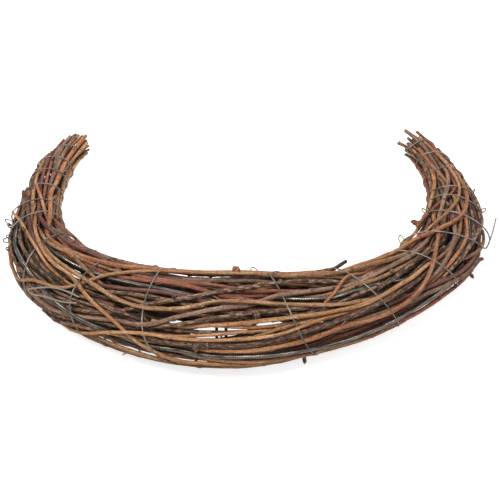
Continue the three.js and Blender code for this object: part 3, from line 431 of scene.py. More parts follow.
def paintedShadeAt(points):                   # painted shade inside the bundle: 0 on its skin, 1 in its middle
    angles = ringAngleOf(points)
    middle, height, halfWide, halfHigh = (np.interp(angles, outlineAngles, outlineRows[:, k]) for k in range(4))
    out = np.hypot((distanceOf(points) - middle) / halfWide, (points[:, 2] - height) / halfHigh)
    return np.clip((outline["paintedShadeFrom"] - out) / outline["paintedShadeOver"], 0, 1)


def addRings(piece, rings, barkAt, tone, mark):    # rings: count x sides x 3, barkAt the same
    count, sides = rings.shape[:2]
    grid = piece["count"] + np.arange(count * sides).reshape(count, sides)
    ahead = np.roll(grid, -1, axis=1)
    quads = np.stack([grid[:-1], ahead[:-1], ahead[1:], grid[1:]], axis=-1).reshape(-1, 4)
    piece["faces"] += quads.tolist()
    piece["finishes"] += [0] * len(quads)
    addPoints(piece, rings, barkAt, tone, mark)
    return grid


def addPoints(piece, points, barkAt, tone, mark):
    shape = points.shape[:-1]
    piece["points"].append(points.reshape(-1, 3))
    piece["barkAt"].append(barkAt.reshape(-1, 3))
    piece["tone"].append(np.full(math.prod(shape), tone))
    piece["mark"].append(np.broadcast_to(mark, shape).ravel())
    piece["count"] += math.prod(shape)


def addFan(piece, rim, centre, barkAt, tone, finish, flip):    # closes a ring of corners at its middle
    middle = piece["count"]
    addPoints(piece, centre[None], barkAt[None], tone, 0.0)
    for a, b in zip(rim, np.roll(rim, -1)):
        piece["faces"].append([int(b), int(a), middle] if flip else [int(a), int(b), middle])
        piece["finishes"].append(finish)


def closeEnds(piece, rings, barkAt, grid, tone):
    for end, flip in ((0, True), (-1, False)):
        addFan(piece, grid[end], rings[end].mean(axis=0), barkAt[end].mean(axis=0), tone, 0, flip)


def turnsRound(sides):
    return np.linspace(0, 2 * math.pi, sides, endpoint=False)


def sweptRings(line, frames, radii, sides, shape=None, shift=None):
    along, across, up = frames
    turn = turnsRound(sides)
    reach = radii[:, None] * (np.ones((len(line), sides)) if shape is None else shape)
    spokes = across[:, None] * np.cos(turn)[None, :, None] + up[:, None] * np.sin(turn)[None, :, None]
    rings = line[:, None] + spokes * reach[..., None]
    if shift is not None:
        rings = rings + along[:, None] * shift[..., None]
    return rings, reach, turn


def barkPlaces(reach, turn, at):        # where each corner lies on an unbent stem, in millimetres
    x = reach * np.cos(turn)
    y = reach * np.sin(turn)
    return np.stack([x, y, np.broadcast_to(at[:, None], x.shape)], axis=-1) / mm


def addTube(piece, line, at, radii, sides, tone, mark, shape=None, offset=0.0):    # a swept tube with closed ends
    rings, reach, turn = sweptRings(line, turningFrames(line), radii, sides, shape)
    barkAt = barkPlaces(reach, turn, at + offset)
    closeEnds(piece, rings, barkAt, addRings(piece, rings, barkAt, tone, mark), tone)


# Degrees from the middle where the stems start to get paler and where they are palest, and by how much, and how much
# painted shade is added to the inner vines and to the rough stems of the left arm
shading = {"paleFrom": 76, "paleTo": 110, "paleLeft": 0.95, "paleRight": 0.25,
           "inner": 0.3, "leftArmShade": 0.5, "leftArmAt": -60, "leftArmWidth": 24}
roughSlots = ("stem_bark", "stem_dark")


def finishPiece(piece, name, slot, nodes=(), hasCuts=False, isInner=False):
    points = np.vstack(piece["points"])
    points[:, 2] = np.maximum(points[:, 2], 0)
    angles = ringAngleOf(points)
    paintedShade, tone = paintedShadeAt(points), np.concatenate(piece["tone"])
    # painted shade: more darkening for the inner vines, and for them and the rough stems round the left arm
    if isInner:
        paintedShade = paintedShade + shading["inner"]
    if isInner or slot in roughSlots:
        near = np.exp(-((angles - shading["leftArmAt"]) / shading["leftArmWidth"]) ** 2)
        paintedShade = np.minimum(1, paintedShade + shading["leftArmShade"] * near)
    if slot.startswith("stem_"):
        share = np.clip((abs(angles) - shading["paleFrom"]) / (shading["paleTo"] - shading["paleFrom"]), 0, 1)
        tone = tone + share * np.where(angles < 0, shading["paleLeft"], shading["paleRight"])
    mesh = bpy.data.meshes.new(name)
    mesh.from_pydata(points.tolist(), [], piece["faces"])
    for finish in [slot, "cut"] if hasCuts else [slot]:
        mesh.materials.append(materials[finish])
    mesh.polygons.foreach_set("material_index", piece["finishes"])
    mesh.polygons.foreach_set("use_smooth", [True] * len(piece["faces"]))
    barkAt = mesh.attributes.new("barkAt", "FLOAT_VECTOR", "POINT")
    barkAt.data.foreach_set("vector", np.vstack(piece["barkAt"]).ravel())
    # tone and mark are the stems' own colour; the third attribute is painted shade inside the bundle
    for label, values in (("tone", tone), ("mark", np.concatenate(piece["mark"])), ("paintedShade", paintedShade)):
        mesh.attributes.new(label, "FLOAT", "POINT").data.foreach_set("value", values)
    mesh.update()
    thing = bpy.data.objects.new(name, mesh)
    bpy.context.scene.collection.objects.link(thing)
    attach(thing, "root")
    if nodes:
        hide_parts(*nodes)


# Materials

def addNode(tree, kind, **settings):
    node = tree.nodes.new(kind)
    for label, value in settings.items():
        setattr(node, label, value)
    return node


def connect(tree, pairs):               # a socket is linked to another one, or set to a constant
    for value, socket in pairs:
        if isinstance(value, (int, float, tuple)):
            socket.default_value = value
        else:
            tree.links.new(value, socket)


def newGroup(name, inputs, outputs):    # an input without a value is a colour, and so is the output Color
    tree = bpy.data.node_groups.new(name, "ShaderNodeTree")
    for label, value in inputs.items():
        kind = "NodeSocketColor" if value is None else "NodeSocketFloat"
        socket = tree.interface.new_socket(label, in_out="INPUT", socket_type=kind)
        if value is not None:
            socket.default_value = value
    for label in outputs:
        kind = "NodeSocketColor" if label == "Color" else "NodeSocketFloat"
        tree.interface.new_socket(label, in_out="OUTPUT", socket_type=kind)
    return tree, tree.nodes.new("NodeGroupInput").outputs, tree.nodes.new("NodeGroupOutput").inputs


def readAttribute(tree, label, output="Fac"):
    return addNode(tree, "ShaderNodeAttribute", attribute_name=label).outputs[output]


def stretched(tree, vector, scale):     # cells per millimetre across the stem and along it
    mapping = addNode(tree, "ShaderNodeMapping")
    connect(tree, [(vector, mapping.inputs["Vector"]), ((scale[0], scale[0], scale[1]), mapping.inputs["Scale"])])
    return mapping.outputs["Vector"]


def stretchedNoise(tree, vector, scale, detail=3.0, roughness=0.55):
    noise = addNode(tree, "ShaderNodeTexNoise")
    labels = ("Vector", "Scale", "Detail", "Roughness")
    connect(tree, zip((stretched(tree, vector, scale), 1.0, detail, roughness), map(noise.inputs.get, labels)))
    return noise.outputs["Fac"]


def remap(tree, value, low, high, toLow=0.0, toHigh=1.0):
    node = addNode(tree, "ShaderNodeMapRange")
    labels = ("Value", "From Min", "From Max", "To Min", "To Max")
    connect(tree, zip((value, low, high, toLow, toHigh), map(node.inputs.get, labels)))
    return node.outputs["Result"]


def calculate(tree, operation, a, b, clamp=False):
    node = addNode(tree, "ShaderNodeMath", operation=operation, use_clamp=clamp)
    connect(tree, zip((a, b), node.inputs))
    return node.outputs[0]


def mixColors(tree, share, a, b):
    node = addNode(tree, "ShaderNodeMix", data_type="RGBA")
    connect(tree, ((share, node.inputs[0]), (a, node.inputs[6]), (b, node.inputs[7])))
    return node.outputs[2]


def shorthand(tree):                    # times, plus, minus, remap, mix and noise within one node tree
    sums = [partial(calculate, tree, operation) for operation in ("MULTIPLY", "ADD", "SUBTRACT")]
    at = readAttribute(tree, "barkAt", "Vector")
    return *sums, partial(remap, tree), partial(mixColors, tree), partial(stretchedNoise, tree, at), at


def makeStemBark():
    tree, given, result = newGroup("stemBark", {
        "Dark": None, "Main": None, "Light": None, "Patch": None, "Patch Amount": 0.2, "Streaks": 0.6,
        "Mottle": 0.5, "Flakes": 0.0, "Speckles": 0.3, "Rough": 0.7}, ("Color", "Roughness", "Height"))
    times, plus, minus, spread, mix, noise, at = shorthand(tree)
    tone, joint, paintedShade = (readAttribute(tree, label) for label in ("tone", "mark", "paintedShade"))

    broad = noise((0.30, 0.030), 2.0)                                 # slow change of tone along the stem
    fibre = noise((2.2, 0.12), 4.0, 0.65)                             # fine fibres
    furrow = noise((0.85, 0.06), 3.0, 0.6)                            # wider furrows
    mottle = noise((0.80, 0.40), 5.0, 0.80)                           # spots of weather and dirt
    blotch = noise((0.42, 0.14), 4.0, 0.7)                            # worn or dead bark
    grit = noise((1.2, 0.70), 4.0, 0.85)
    pits = noise((0.95, 0.50), 3.0, 0.7)
    cells = addNode(tree, "ShaderNodeTexVoronoi")                     # flakes of bark, and small pale pores
    connect(tree, [(stretched(tree, at, (0.70, 0.21)), cells.inputs["Vector"]), (1.0, cells.inputs["Scale"])])
    cellTone = addNode(tree, "ShaderNodeSeparateColor")
    connect(tree, [(cells.outputs["Color"], cellTone.inputs[0])])

    def marks(texture, low, high, amount):    # where a texture passes from low to high
        return times(spread(texture, low, high), given[amount], clamp=True)

    edge = minus(0.78, times(given["Patch Amount"], 0.5))
    patch = times(minus(blotch, edge), 9.0, clamp=True)
    gap = marks(cells.outputs["Distance"], 0.46, 0.62, "Flakes")
    pore = marks(cells.outputs["Distance"], 0.20, 0.12, "Speckles")
    pit = times(spread(pits, 0.41, 0.34), 0.85, clamp=True)
    color = mix(spread(broad, 0.40, 0.62), given["Main"], given["Light"])
    for share, colorName in (
            (marks(fibre, 0.58, 0.36, "Streaks"), "Dark"),
            (marks(furrow, 0.50, 0.32, "Streaks"), "Dark"),
            (marks(mottle, 0.50, 0.30, "Mottle"), "Dark"),
            (marks(mottle, 0.56, 0.74, "Mottle"), "Light"),
            (patch, "Patch"),
            (marks(cellTone.outputs[0], 0.62, 0.74, "Flakes"), "Light"),
            (gap, "Patch"),
            (pore, "Light"),
            (pit, "Patch"),
            (times(joint, 0.8, clamp=True), "Patch")):
        color = mix(share, color, given[colorName])
    shade = times(spread(tone, 0.0, 2.0, 0.80, 1.50), spread(grit, 0.34, 0.66, 0.50, 1.56))
    # painted shade: the colour gets darker deeper inside the bundle
    shade = times(shade, spread(paintedShade, 0.0, 1.0, 1.0, 0.42))
    scaled = addNode(tree, "ShaderNodeVectorMath", operation="SCALE")
    roughness = plus(given["Rough"], spread(fibre, 0.3, 0.7, 0.10, -0.10))
    height = plus(times(fibre, 0.6), furrow)
    for texture, amount in ((grit, 0.3), (mottle, 0.7), (patch, -0.4), (gap, -0.6), (pit, -0.5), (pore, 0.25)):
        height = plus(height, times(texture, amount))
    connect(tree, [(color, scaled.inputs[0]), (shade, scaled.inputs["Scale"]), (scaled.outputs[0], result["Color"]),
                   (plus(roughness, times(patch, 0.12), clamp=True), result["Roughness"]),
                   (height, result["Height"])])
    return tree


def makeTarnish():
    tree, given, result = newGroup("tarnish", {
        "Bright": None, "Dull": None, "Rust And Groove Shade": None, "Rust Amount": 0.2, "Smooth": 0.3, "Worn": 0.5},
        ("Color", "Roughness", "Height"))
    times, plus, minus, spread, mix, noise, at = shorthand(tree)
    tone, grooveShade = (readAttribute(tree, label) for label in ("tone", "mark"))
    cover = noise((0.6, 0.07), 4.0, 0.65)
    scratch = noise((5.0, 0.6), 3.0, 0.6)
    specks = noise((1.6, 0.8), 4.0, 0.7)
    dull = plus(spread(cover, 0.35, 0.62), spread(tone, 0.5, 1.0, 0.0, -0.8), clamp=True)
    edge = minus(0.85, times(given["Rust Amount"], 0.5))
    rust = times(minus(specks, edge), 8.0, clamp=True)
    color = mix(dull, given["Bright"], given["Dull"])
    color = mix(rust, color, given["Rust And Groove Shade"])
    # painted shade: the grooves between the rods' ribs are darkened toward the rust colour
    color = mix(spread(grooveShade, 0.45, 0.95, 0.0, 0.85), color, given["Rust And Groove Shade"])
    roughness = plus(given["Smooth"], times(dull, given["Worn"]))
    connect(tree, [(color, result["Color"]), (plus(roughness, times(rust, 0.3), clamp=True), result["Roughness"]),
                   (plus(scratch, times(rust, 0.6)), result["Height"])])
    return tree


# Colours are 0-255 display values, and Strength is the bump's.
stemLooks = ("Dark", "Main", "Light", "Patch", "Patch Amount", "Streaks", "Mottle", "Flakes", "Speckles", "Rough",
             "Strength")
stemFinishes = {
    "stem_tan": ((104, 66, 40), (171, 121, 79), (199, 156, 114), (72, 48, 34),
                 0.20, 0.62, 0.75, 0.0, 0.35, 0.56, 0.75),
    "stem_ochre": ((82, 54, 36), (151, 108, 74), (185, 146, 109), (58, 42, 33),
                   0.28, 0.70, 0.80, 0.16, 0.35, 0.60, 0.80),
    "stem_orange": ((96, 54, 33), (160, 102, 66), (191, 138, 98), (70, 44, 34),
                    0.22, 0.60, 0.72, 0.05, 0.35, 0.55, 0.75),
    "stem_rust": ((74, 38, 28), (135, 75, 55), (171, 109, 82), (54, 34, 29),
                  0.24, 0.60, 0.72, 0.05, 0.35, 0.55, 0.75),
    "stem_wine": ((46, 27, 24), (98, 58, 50), (132, 86, 72), (38, 27, 25),
                  0.24, 0.55, 0.60, 0.10, 0.20, 0.58, 0.50),
    "stem_mauve": ((70, 47, 38), (130, 98, 82), (170, 138, 118), (54, 41, 36),
                   0.30, 0.66, 0.80, 0.18, 0.35, 0.64, 0.80),
    "stem_bark": ((54, 37, 31), (116, 82, 68), (180, 142, 112), (38, 30, 27),
                  0.46, 0.85, 0.85, 0.62, 0.10, 0.78, 1.0),
    "stem_dark": ((42, 29, 26), (96, 66, 56), (156, 120, 98), (30, 24, 22),
                  0.50, 0.85, 0.85, 0.55, 0.10, 0.80, 1.0),
}
metalLooks = ("Bright", "Dull", "Rust And Groove Shade", "Rust Amount", "Smooth", "Worn", "Strength", "Metallic")
# the third colour is rust, and also the painted shade in the grooves of the rods
metalFinishes = {
    "binding_iron": ((158, 150, 143), (86, 81, 77), (84, 60, 46), 0.38, 0.42, 0.20, 0.25, 0.62),
    "frame_steel": ((160, 157, 151), (64, 60, 56), (56, 43, 36), 0.46, 0.18, 0.26, 0.35, 0.92),
}
bumpDepth = {"stem": 0.4 * mm, "cut": 0.3 * mm, "metal": 0.1 * mm}
cutWood = {"pith": (84, 56, 38), "wood": (190, 150, 104), "rim": (110, 76, 50), "radius": 1.7, "bump": 0.6}


def makeSurface(name, group, looks, values, depth, **constants):
    material, tree, shader = newMaterial(name, **constants)
    surface = addNode(tree, "ShaderNodeGroup", node_tree=group)
    bump = addNode(tree, "ShaderNodeBump")
    bump.inputs["Distance"].default_value = depth
    for label, value in zip(looks, values):    # each value goes to the node that has an input of this name
        socket = next(node.inputs[label] for node in (surface, bump, shader) if label in node.inputs)
        socket.default_value = rgba(value) if isinstance(value, tuple) else value
    connect(tree, [(surface.outputs["Color"], shader.inputs["Base Color"]),
                   (surface.outputs["Roughness"], shader.inputs["Roughness"]),
                   (surface.outputs["Height"], bump.inputs["Height"]),
                   (bump.outputs["Normal"], shader.inputs["Normal"])])
    return material


def makeCutWood():
    material, tree, shader = newMaterial("cutWood", Specular_IOR_Level=0.25)
    times, plus, minus, spread, mix, noise, at = shorthand(tree)
    flat = addNode(tree, "ShaderNodeVectorMath", operation="MULTIPLY")
    length = addNode(tree, "ShaderNodeVectorMath", operation="LENGTH")
    bump = addNode(tree, "ShaderNodeBump")
    grain = noise((3.0, 0.2), 3.0, 0.7)
    pith, wood, rim = (rgba(cutWood[part]) for part in ("pith", "wood", "rim"))
    distance = plus(length.outputs["Value"], spread(grain, 0.3, 0.7, -0.22, 0.22))
    color = mix(spread(distance, 0.2, 0.55), pith, wood)
    color = mix(spread(distance, 0.66 * cutWood["radius"], 0.9 * cutWood["radius"]), color, rim)
    color = mix(spread(grain, 0.62, 0.4, 0.0, 0.5), color, rim)
    connect(tree, [(at, flat.inputs[0]), ((1, 1, 0), flat.inputs[1]), (flat.outputs[0], length.inputs[0]),
                   (cutWood["bump"], bump.inputs["Strength"]), (bumpDepth["cut"], bump.inputs["Distance"]),
                   (grain, bump.inputs["Height"]), (bump.outputs["Normal"], shader.inputs["Normal"]),
                   (color, shader.inputs["Base Color"]),
                   (spread(grain, 0.3, 0.7, 0.75, 0.95), shader.inputs["Roughness"])])
    return material


stemBark, tarnish = makeStemBark(), makeTarnish()
materials = {name: makeSurface(name, stemBark, stemLooks, values, bumpDepth["stem"], Specular_IOR_Level=0.38)
             for name, values in stemFinishes.items()}
materials |= {name: makeSurface(name, tarnish, metalLooks, values, bumpDepth["metal"])
              for name, values in metalFinishes.items()}
materials["cut"] = makeCutWood()
print("materials ready:", len(materials))


# Stems

stemShape = {
    "sides": {"smooth": 12, "rough": 15, "inner": 10},
    "step": {"smooth": 1.7 * mm, "rough": 1.2 * mm, "inner": 2.1 * mm},
    "slimmer": 0.97,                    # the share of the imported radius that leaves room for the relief
    "firstJoint": (8 * mm, 30 * mm),
    "jointEvery": (26 * mm, 60 * mm),
    "jointSwell": 0.17,
    "jointShare": (0.5, 1),             # of that swell
    "jointLength": 1.7 * mm,
    "jointMark": 0.6,                   # share of that length that is darker
    "scarSwell": 0.36,
    "scarPower": 3,                     # the higher, the narrower the scar is
    "scarTurn": (-0.5, 0.5),            # radians off the side it would be on
    "rootSwell": 0.45,                  # of a side shoot where it leaves its stem
    "rootReach": 5 * mm,
    "kink": 0.50 * mm,                  # most that a joint sets the line aside
    "kinkFrom": 25 * mm,                # from the first end on
    "pastEnd": 50 * mm,                 # where the last kink ends
    "taper": 0.12,
    "smoothRelief": 0.06,
    "roughRelief": 0.11,
    "ridge": 0.07,                      # lengthwise ridges on rough bark, which come and go
    "ridgeWaves": (80, 160),
    "ridgeCount": (4, 6),
    "ridgeTwist": (-25, 25),
    "slant": 0.5,                       # most slope of a cut end
    "slantShare": (0.1, 1),
    "barkShift": (0, 5),                # metres between the bark of one stem and the next
}
# A cut end rises from its rim to its middle. Lip and half are shares of the radius.
cutEnd = {"lift": 0.12 * mm, "lip": 0.90, "half": 0.45, "halfLift": 1.4, "middleLift": 1.5, "mark": 0.4}
relief = {"waves": 9, "around": (0, 5), "along": (60, 900), "slow": 0.3, "finerOnTwigs": 6}


def reliefAt(rng, at, turn, amount):    # a smooth uneven surface, as a share of the radius
    total = np.zeros((len(at), len(turn)))
    for k in range(relief["waves"]):
        around = rng.integers(*relief["around"])
        along = rng.uniform(*relief["along"]) * (1 if k % 2 else relief["slow"])
        phase = rng.uniform(0, 2 * math.pi)
        total += np.sin(around * turn[None] + along * at[:, None] + phase)
    return amount * total / math.sqrt(relief["waves"])


def kinkedLine(rng, line, at, joints):    # a slight change of direction at each joint
    bends = rng.uniform(-1, 1, (len(joints) + 2, 2)) * stemShape["kink"]
    bends[0] = 0
    stops = np.array([0, *joints, joints[-1] + stemShape["pastEnd"]])
    aside = np.stack([np.interp(at, stops, bends[:, k]) for k in range(2)], axis=1)
    aside *= np.minimum(1, at / stemShape["kinkFrom"])[:, None]
    along, across, up = turningFrames(line)
    return line + across * aside[:, :1] + up * aside[:, 1:]


def addStem(piece, rng, centres, radius, rough, tone, roots=(False, False), kind=None):
    kind = kind or ("rough" if rough else "smooth")
    sides = stemShape["sides"][kind]
    line, at = smoothLine(centres, stemShape["step"][kind])
    length = at[-1]
    joints = [rng.uniform(*stemShape["firstJoint"])]
    while joints[-1] < length:
        joints.append(joints[-1] + rng.uniform(*stemShape["jointEvery"]))
    line = kinkedLine(rng, line, at, joints)
    frames = turningFrames(line)

    turn = turnsRound(sides)
    radii = radius * (1 - stemShape["taper"] * abs(2 * at / length - 1) ** 2)
    shape = 1 + reliefAt(rng, at, turn, stemShape["roughRelief" if rough else "smoothRelief"])
    if rough:
        swell = 0.5 + 0.5 * np.sin(rng.uniform(*stemShape["ridgeWaves"]) * at + rng.uniform(0, 6))
        ridges = np.sin(rng.integers(*stemShape["ridgeCount"]) * turn[None]
                        + rng.uniform(*stemShape["ridgeTwist"]) * at[:, None])
        shape += stemShape["ridge"] * swell[:, None] * ridges
    mark = np.zeros((len(at), sides))
    for k, joint in enumerate(joints[:-1]):
        near = np.exp(-((at - joint) / stemShape["jointLength"]) ** 2)
        facing = math.pi * k + rng.uniform(*stemShape["scarTurn"])
        scar = np.maximum(0, np.cos(turn - facing)) ** stemShape["scarPower"]
        swell = stemShape["jointSwell"] * rng.uniform(*stemShape["jointShare"])
        shape += near[:, None] * (swell + stemShape["scarSwell"] * scar[None])
        tight = np.exp(-((at - joint) / (stemShape["jointMark"] * stemShape["jointLength"])) ** 2)
        mark = np.maximum(mark, tight[:, None] * (0.5 + 0.5 * scar[None]))
    for isRoot, away in zip(roots, (at, length - at)):
        if isRoot:
            shape *= (1 + stemShape["rootSwell"] * np.exp(-away / stemShape["rootReach"]))[:, None]

    shift = np.zeros((len(at), sides))
    for end in (0, -1):
        slope = rng.uniform(*stemShape["slantShare"]) * stemShape["slant"]
        shift[end] = slope * radius * np.cos(turn - rng.uniform(0, 2 * math.pi))
    rings, reach, turn = sweptRings(line, frames, radii, sides, shape, shift)
    bark = barkPlaces(reach, turn, at + rng.uniform(*stemShape["barkShift"]))
    grid = addRings(piece, rings, bark, tone, mark)
    for end, sign in ((0, -1), (-1, 1)):
        addCutEnd(piece, rings[end], bark[end], frames[0][end] * sign, grid[end], tone, sign < 0)
    return line, at, frames


def addCutEnd(piece, rim, rimBark, outward, rimCorners, tone, flip):
    lift = outward * cutEnd["lift"]
    centre = rim.mean(axis=0)
    lip = centre + (rim - centre) * cutEnd["lip"] + lift
    half = centre + (rim - centre) * cutEnd["half"] + lift * cutEnd["halfLift"]
    halfBark = rimBark * [cutEnd["half"], cutEnd["half"], 1]
    loops = [rimCorners]
    for ring, bark in ((lip, rimBark), (lip, rimBark * [cutEnd["lip"], cutEnd["lip"], 1]), (half, halfBark)):
        loops.append(piece["count"] + np.arange(len(rim)))
        addPoints(piece, ring, bark, tone, cutEnd["mark"])
    for inner, outer, finish in ((loops[1], loops[0], 0), (loops[3], loops[2], 1)):
        for face in zip(outer, np.roll(outer, -1), np.roll(inner, -1), inner):
            face = [int(corner) for corner in face]
            piece["faces"].append(face[::-1] if flip else face)
            piece["finishes"].append(finish)
    addFan(piece, loops[3], centre + lift * cutEnd["middleLift"], halfBark.mean(axis=0), tone, 1, flip)


def addTwig(piece, rng, points, radii, tone, mark, amount=0.08, sides=9, step=0.5 * mm):    # any short growth
    line, at = smoothLine(points, step)
    turn = turnsRound(sides)
    width = np.interp(at / at[-1], np.linspace(0, 1, len(radii)), radii)
    shape = 1 + reliefAt(rng, relief["finerOnTwigs"] * at, turn, amount)
    addTube(piece, line, at, width, sides, tone, mark, shape, rng.uniform(0, 1))


def pointOn(name, angle):               # on the main line of a stem
    line = mainLines[name]
    angles = ringAngleOf(line)
    return np.array([np.interp(angle, angles, line[:, k]) for k in range(3)])


# Cut side buds: stem, ring angle, section angle, length from the stem's middle, radius
buds = [
    ("stem_orange_edge", -5, 96, 5.4, 2.6),
    ("stem_edge_front", 14.5, -62, 6.5, 1.9),
    ("stem_red_horn", 77, 168, 6.5, 2.2),
    ("stem_mauve_two", -79, 78, 5.0, 1.8),
    ("stem_pink_low", 61, 20, 5.0, 1.9),
    ("stem_edge_right", 67, -40, 5.0, 1.9),
    ("stem_wine_left", -92, 60, 5.0, 1.7),
    ("stem_dark_bark", -19, 95, 4.5, 1.7),
    ("stem_brown_upper", 44.5, 70, 4.5, 1.8),
    ("stem_under_outer", -58, 315, 5.5, 1.7),
]
# Knuckles the bundle rests on: stem, ring angle
feet = [("stem_under_left", -92), ("stem_under_left", -4), ("stem_under_right", 92)]
# Gnarled knots: stem, ring angle, section angle, size of one lump
knots = [
    ("stem_dark_front", -11, 8, 2.5),
    ("stem_dark_front", -9.0, 30, 2.0),
    ("stem_orange_edge", -4.2, 110, 2.2),
    ("stem_tan_arch", 0, 300, 2.0),
    ("stem_brown_middle", 2, 330, 2.2),
    ("stem_forked_tan", -54, 80, 1.8),
    ("stem_orange_edge", -78, 116, 1.2),
    ("stem_bark_upper", 38, 64, 1.9),
    ("stem_brown_upper", 32, 80, 1.8),
    ("stem_bark_upright", 76, 60, 1.7),
    ("stem_outer_two", -63, -14, 1.9),
    ("stem_pink_long", 26, 70, 1.2),
    ("stem_dark_left", -70, 70, 1.3),
]
growth = {
    "budTaper": (1.05, 0.95, 0.78, 0.86, 0.80, 0.5),
    "budRelief": 0.13,
    "budEdges": 3,                      # broken edges round the end of a bud
    "edgeLean": 0.22,
    "edgeBelow": 1.4,                   # millimetres below the end of the bud
    "edgeAt": (0.0, 0.7, 1.2),          # millimetres from there
    "edgeTaper": (0.55, 0.45, 0.2),
    "footRadius": 2.2,
    "footTaper": (1.0, 0.95, 0.85, 0.8),
    "lumps": 6,                         # of a knot
    "lumpLean": 0.55,
    "lumpShift": 0.35,
    "lumpReach": (1.0, 1.6),
    "lumpTaper": (0.9, 0.85, 0.6, 0.25),
    "lumpRelief": 0.14,
    "twigsEach": (1, 4),                # broken side twigs on one stem
    "twigLength": (2.2 * mm, 6.5 * mm),
    "twigRadius": (0.45 * mm, 0.8 * mm),
    "twigAt": (0.08, 0.92),             # share of the stem's length
    "twigOut": (0.5, 1.0),              # how far it points away from the stem
    "twigAlong": (0.6, 1.2),            # and along it
    "flakesEach": (7, 12),              # loose strips of bark on one rough stem
    "flakeLength": (5 * mm, 13 * mm),
    "flakeWidth": (0.35 * mm, 0.7 * mm),
    "flakeLift": (0.4 * mm, 1.5 * mm),
    "flakeThick": 0.10 * mm,
    "flakeSides": 6,
    "flakeSkin": 1.04,                  # where its fast end lies, as a share of the stem's radius
    "flakeCurl": 2.2,                   # power that it lifts off with
}


def scaledBy(size, shares):
    return [share * size * mm for share in shares]


def addBud(piece, rng, name, angle, section, length, radius, tone):
    base = pointOn(name, angle)
    way = planeDirection(angle, section)
    points = [base, base + way * 0.5 * length * mm, base + way * length * mm]
    addTwig(piece, rng, points, scaledBy(radius, growth["budTaper"]), tone, 0.45, growth["budRelief"], 11)
    for _ in range(growth["budEdges"]):
        lean = way + rng.normal(0, growth["edgeLean"], 3)
        start = points[2] - way * growth["edgeBelow"] * mm + (lean - way) * radius * 0.5 * mm
        edge = [start + lean * share * mm for share in growth["edgeAt"]]
        addTwig(piece, rng, edge, scaledBy(radius, growth["edgeTaper"]), tone, 0.8, 0.15)


def addFoot(piece, rng, name, angle, tone):
    base = pointOn(name, angle)
    ground = base * [1, 1, 0]
    radii = scaledBy(growth["footRadius"], growth["footTaper"])
    addTwig(piece, rng, [base, (base + ground) / 2, ground], radii, tone, 0.3, 0.05, 12)


def addKnot(piece, rng, base, way, size):
    for _ in range(growth["lumps"]):
        lean = way + rng.normal(0, growth["lumpLean"], 3)
        lean /= np.linalg.norm(lean)
        start = base + rng.normal(0, growth["lumpShift"], 3) * size * mm
        reach = size * rng.uniform(*growth["lumpReach"]) * mm
        points = [start, start + lean * 0.6 * reach, start + lean * reach + rng.normal(0, 0.1, 3) * size * mm]
        addTwig(piece, rng, points, scaledBy(size, growth["lumpTaper"]), 1.0, rng.uniform(0, 0.5),
                growth["lumpRelief"])


def addSideTwigs(piece, rng, line, frames, radius, tone):
    along, across, up = frames
    for _ in range(rng.integers(*growth["twigsEach"])):
        i = int(rng.uniform(*growth["twigAt"]) * (len(line) - 1))
        turn = rng.uniform(0, 2 * math.pi)
        out = across[i] * math.cos(turn) + up[i] * math.sin(turn)
        way = out * rng.uniform(*growth["twigOut"])
        way = way + along[i] * rng.uniform(*growth["twigAlong"]) * rng.choice((-1, 1))
        way /= np.linalg.norm(way)
        length = rng.uniform(*growth["twigLength"])
        thick = rng.uniform(*growth["twigRadius"])
        start = line[i] + out * 0.6 * radius
        points = [start, start + way * 0.6 * length, start + way * length + rng.normal(0, 0.2 * mm, 3)]
        addTwig(piece, rng, points, [1.5 * thick, thick, 0.85 * thick], tone, 0.5, 0.1, 7, 0.8 * mm)


def addFlakes(piece, rng, line, at, frames, radius, tone):    # strips of bark that have come loose at one end
    along, across, up = frames
    sides = growth["flakeSides"]
    turn = turnsRound(sides)
    for _ in range(rng.integers(*growth["flakesEach"])):
        count = int(rng.uniform(*growth["flakeLength"]) / (at[1] - at[0]))
        i = rng.integers(2, max(3, len(line) - count - 3))
        span = slice(i, min(i + count, len(line)))
        facing = rng.uniform(0, 2 * math.pi)
        out = across[span] * math.cos(facing) + up[span] * math.sin(facing)
        side = np.cross(along[span], out)
        loose = np.linspace(0, 1, len(out))[:: rng.choice((-1, 1))]
        lift = radius * growth["flakeSkin"] + rng.uniform(*growth["flakeLift"]) * loose ** growth["flakeCurl"]
        width = rng.uniform(*growth["flakeWidth"]) * (1 - 0.5 * loose)
        middle = line[span] + out * lift[:, None]
        rings = (middle[:, None] + side[:, None] * (width[:, None] * np.cos(turn))[..., None]
                 + out[:, None] * (growth["flakeThick"] * np.sin(turn))[None, :, None])
        barkAt = np.stack([np.outer(width, np.cos(turn)), np.full((len(out), sides), rng.uniform(0, 0.01)),
                           np.broadcast_to(at[span][:, None], (len(out), sides))], axis=-1) / mm
        closeEnds(piece, rings, barkAt, addRings(piece, rings, barkAt, tone, rng.uniform(0, 0.8)), tone)


def ownedBy(name, rows):                # the rest of each row that starts with this stem
    return [row[1:] for row in rows if row[0] == name]


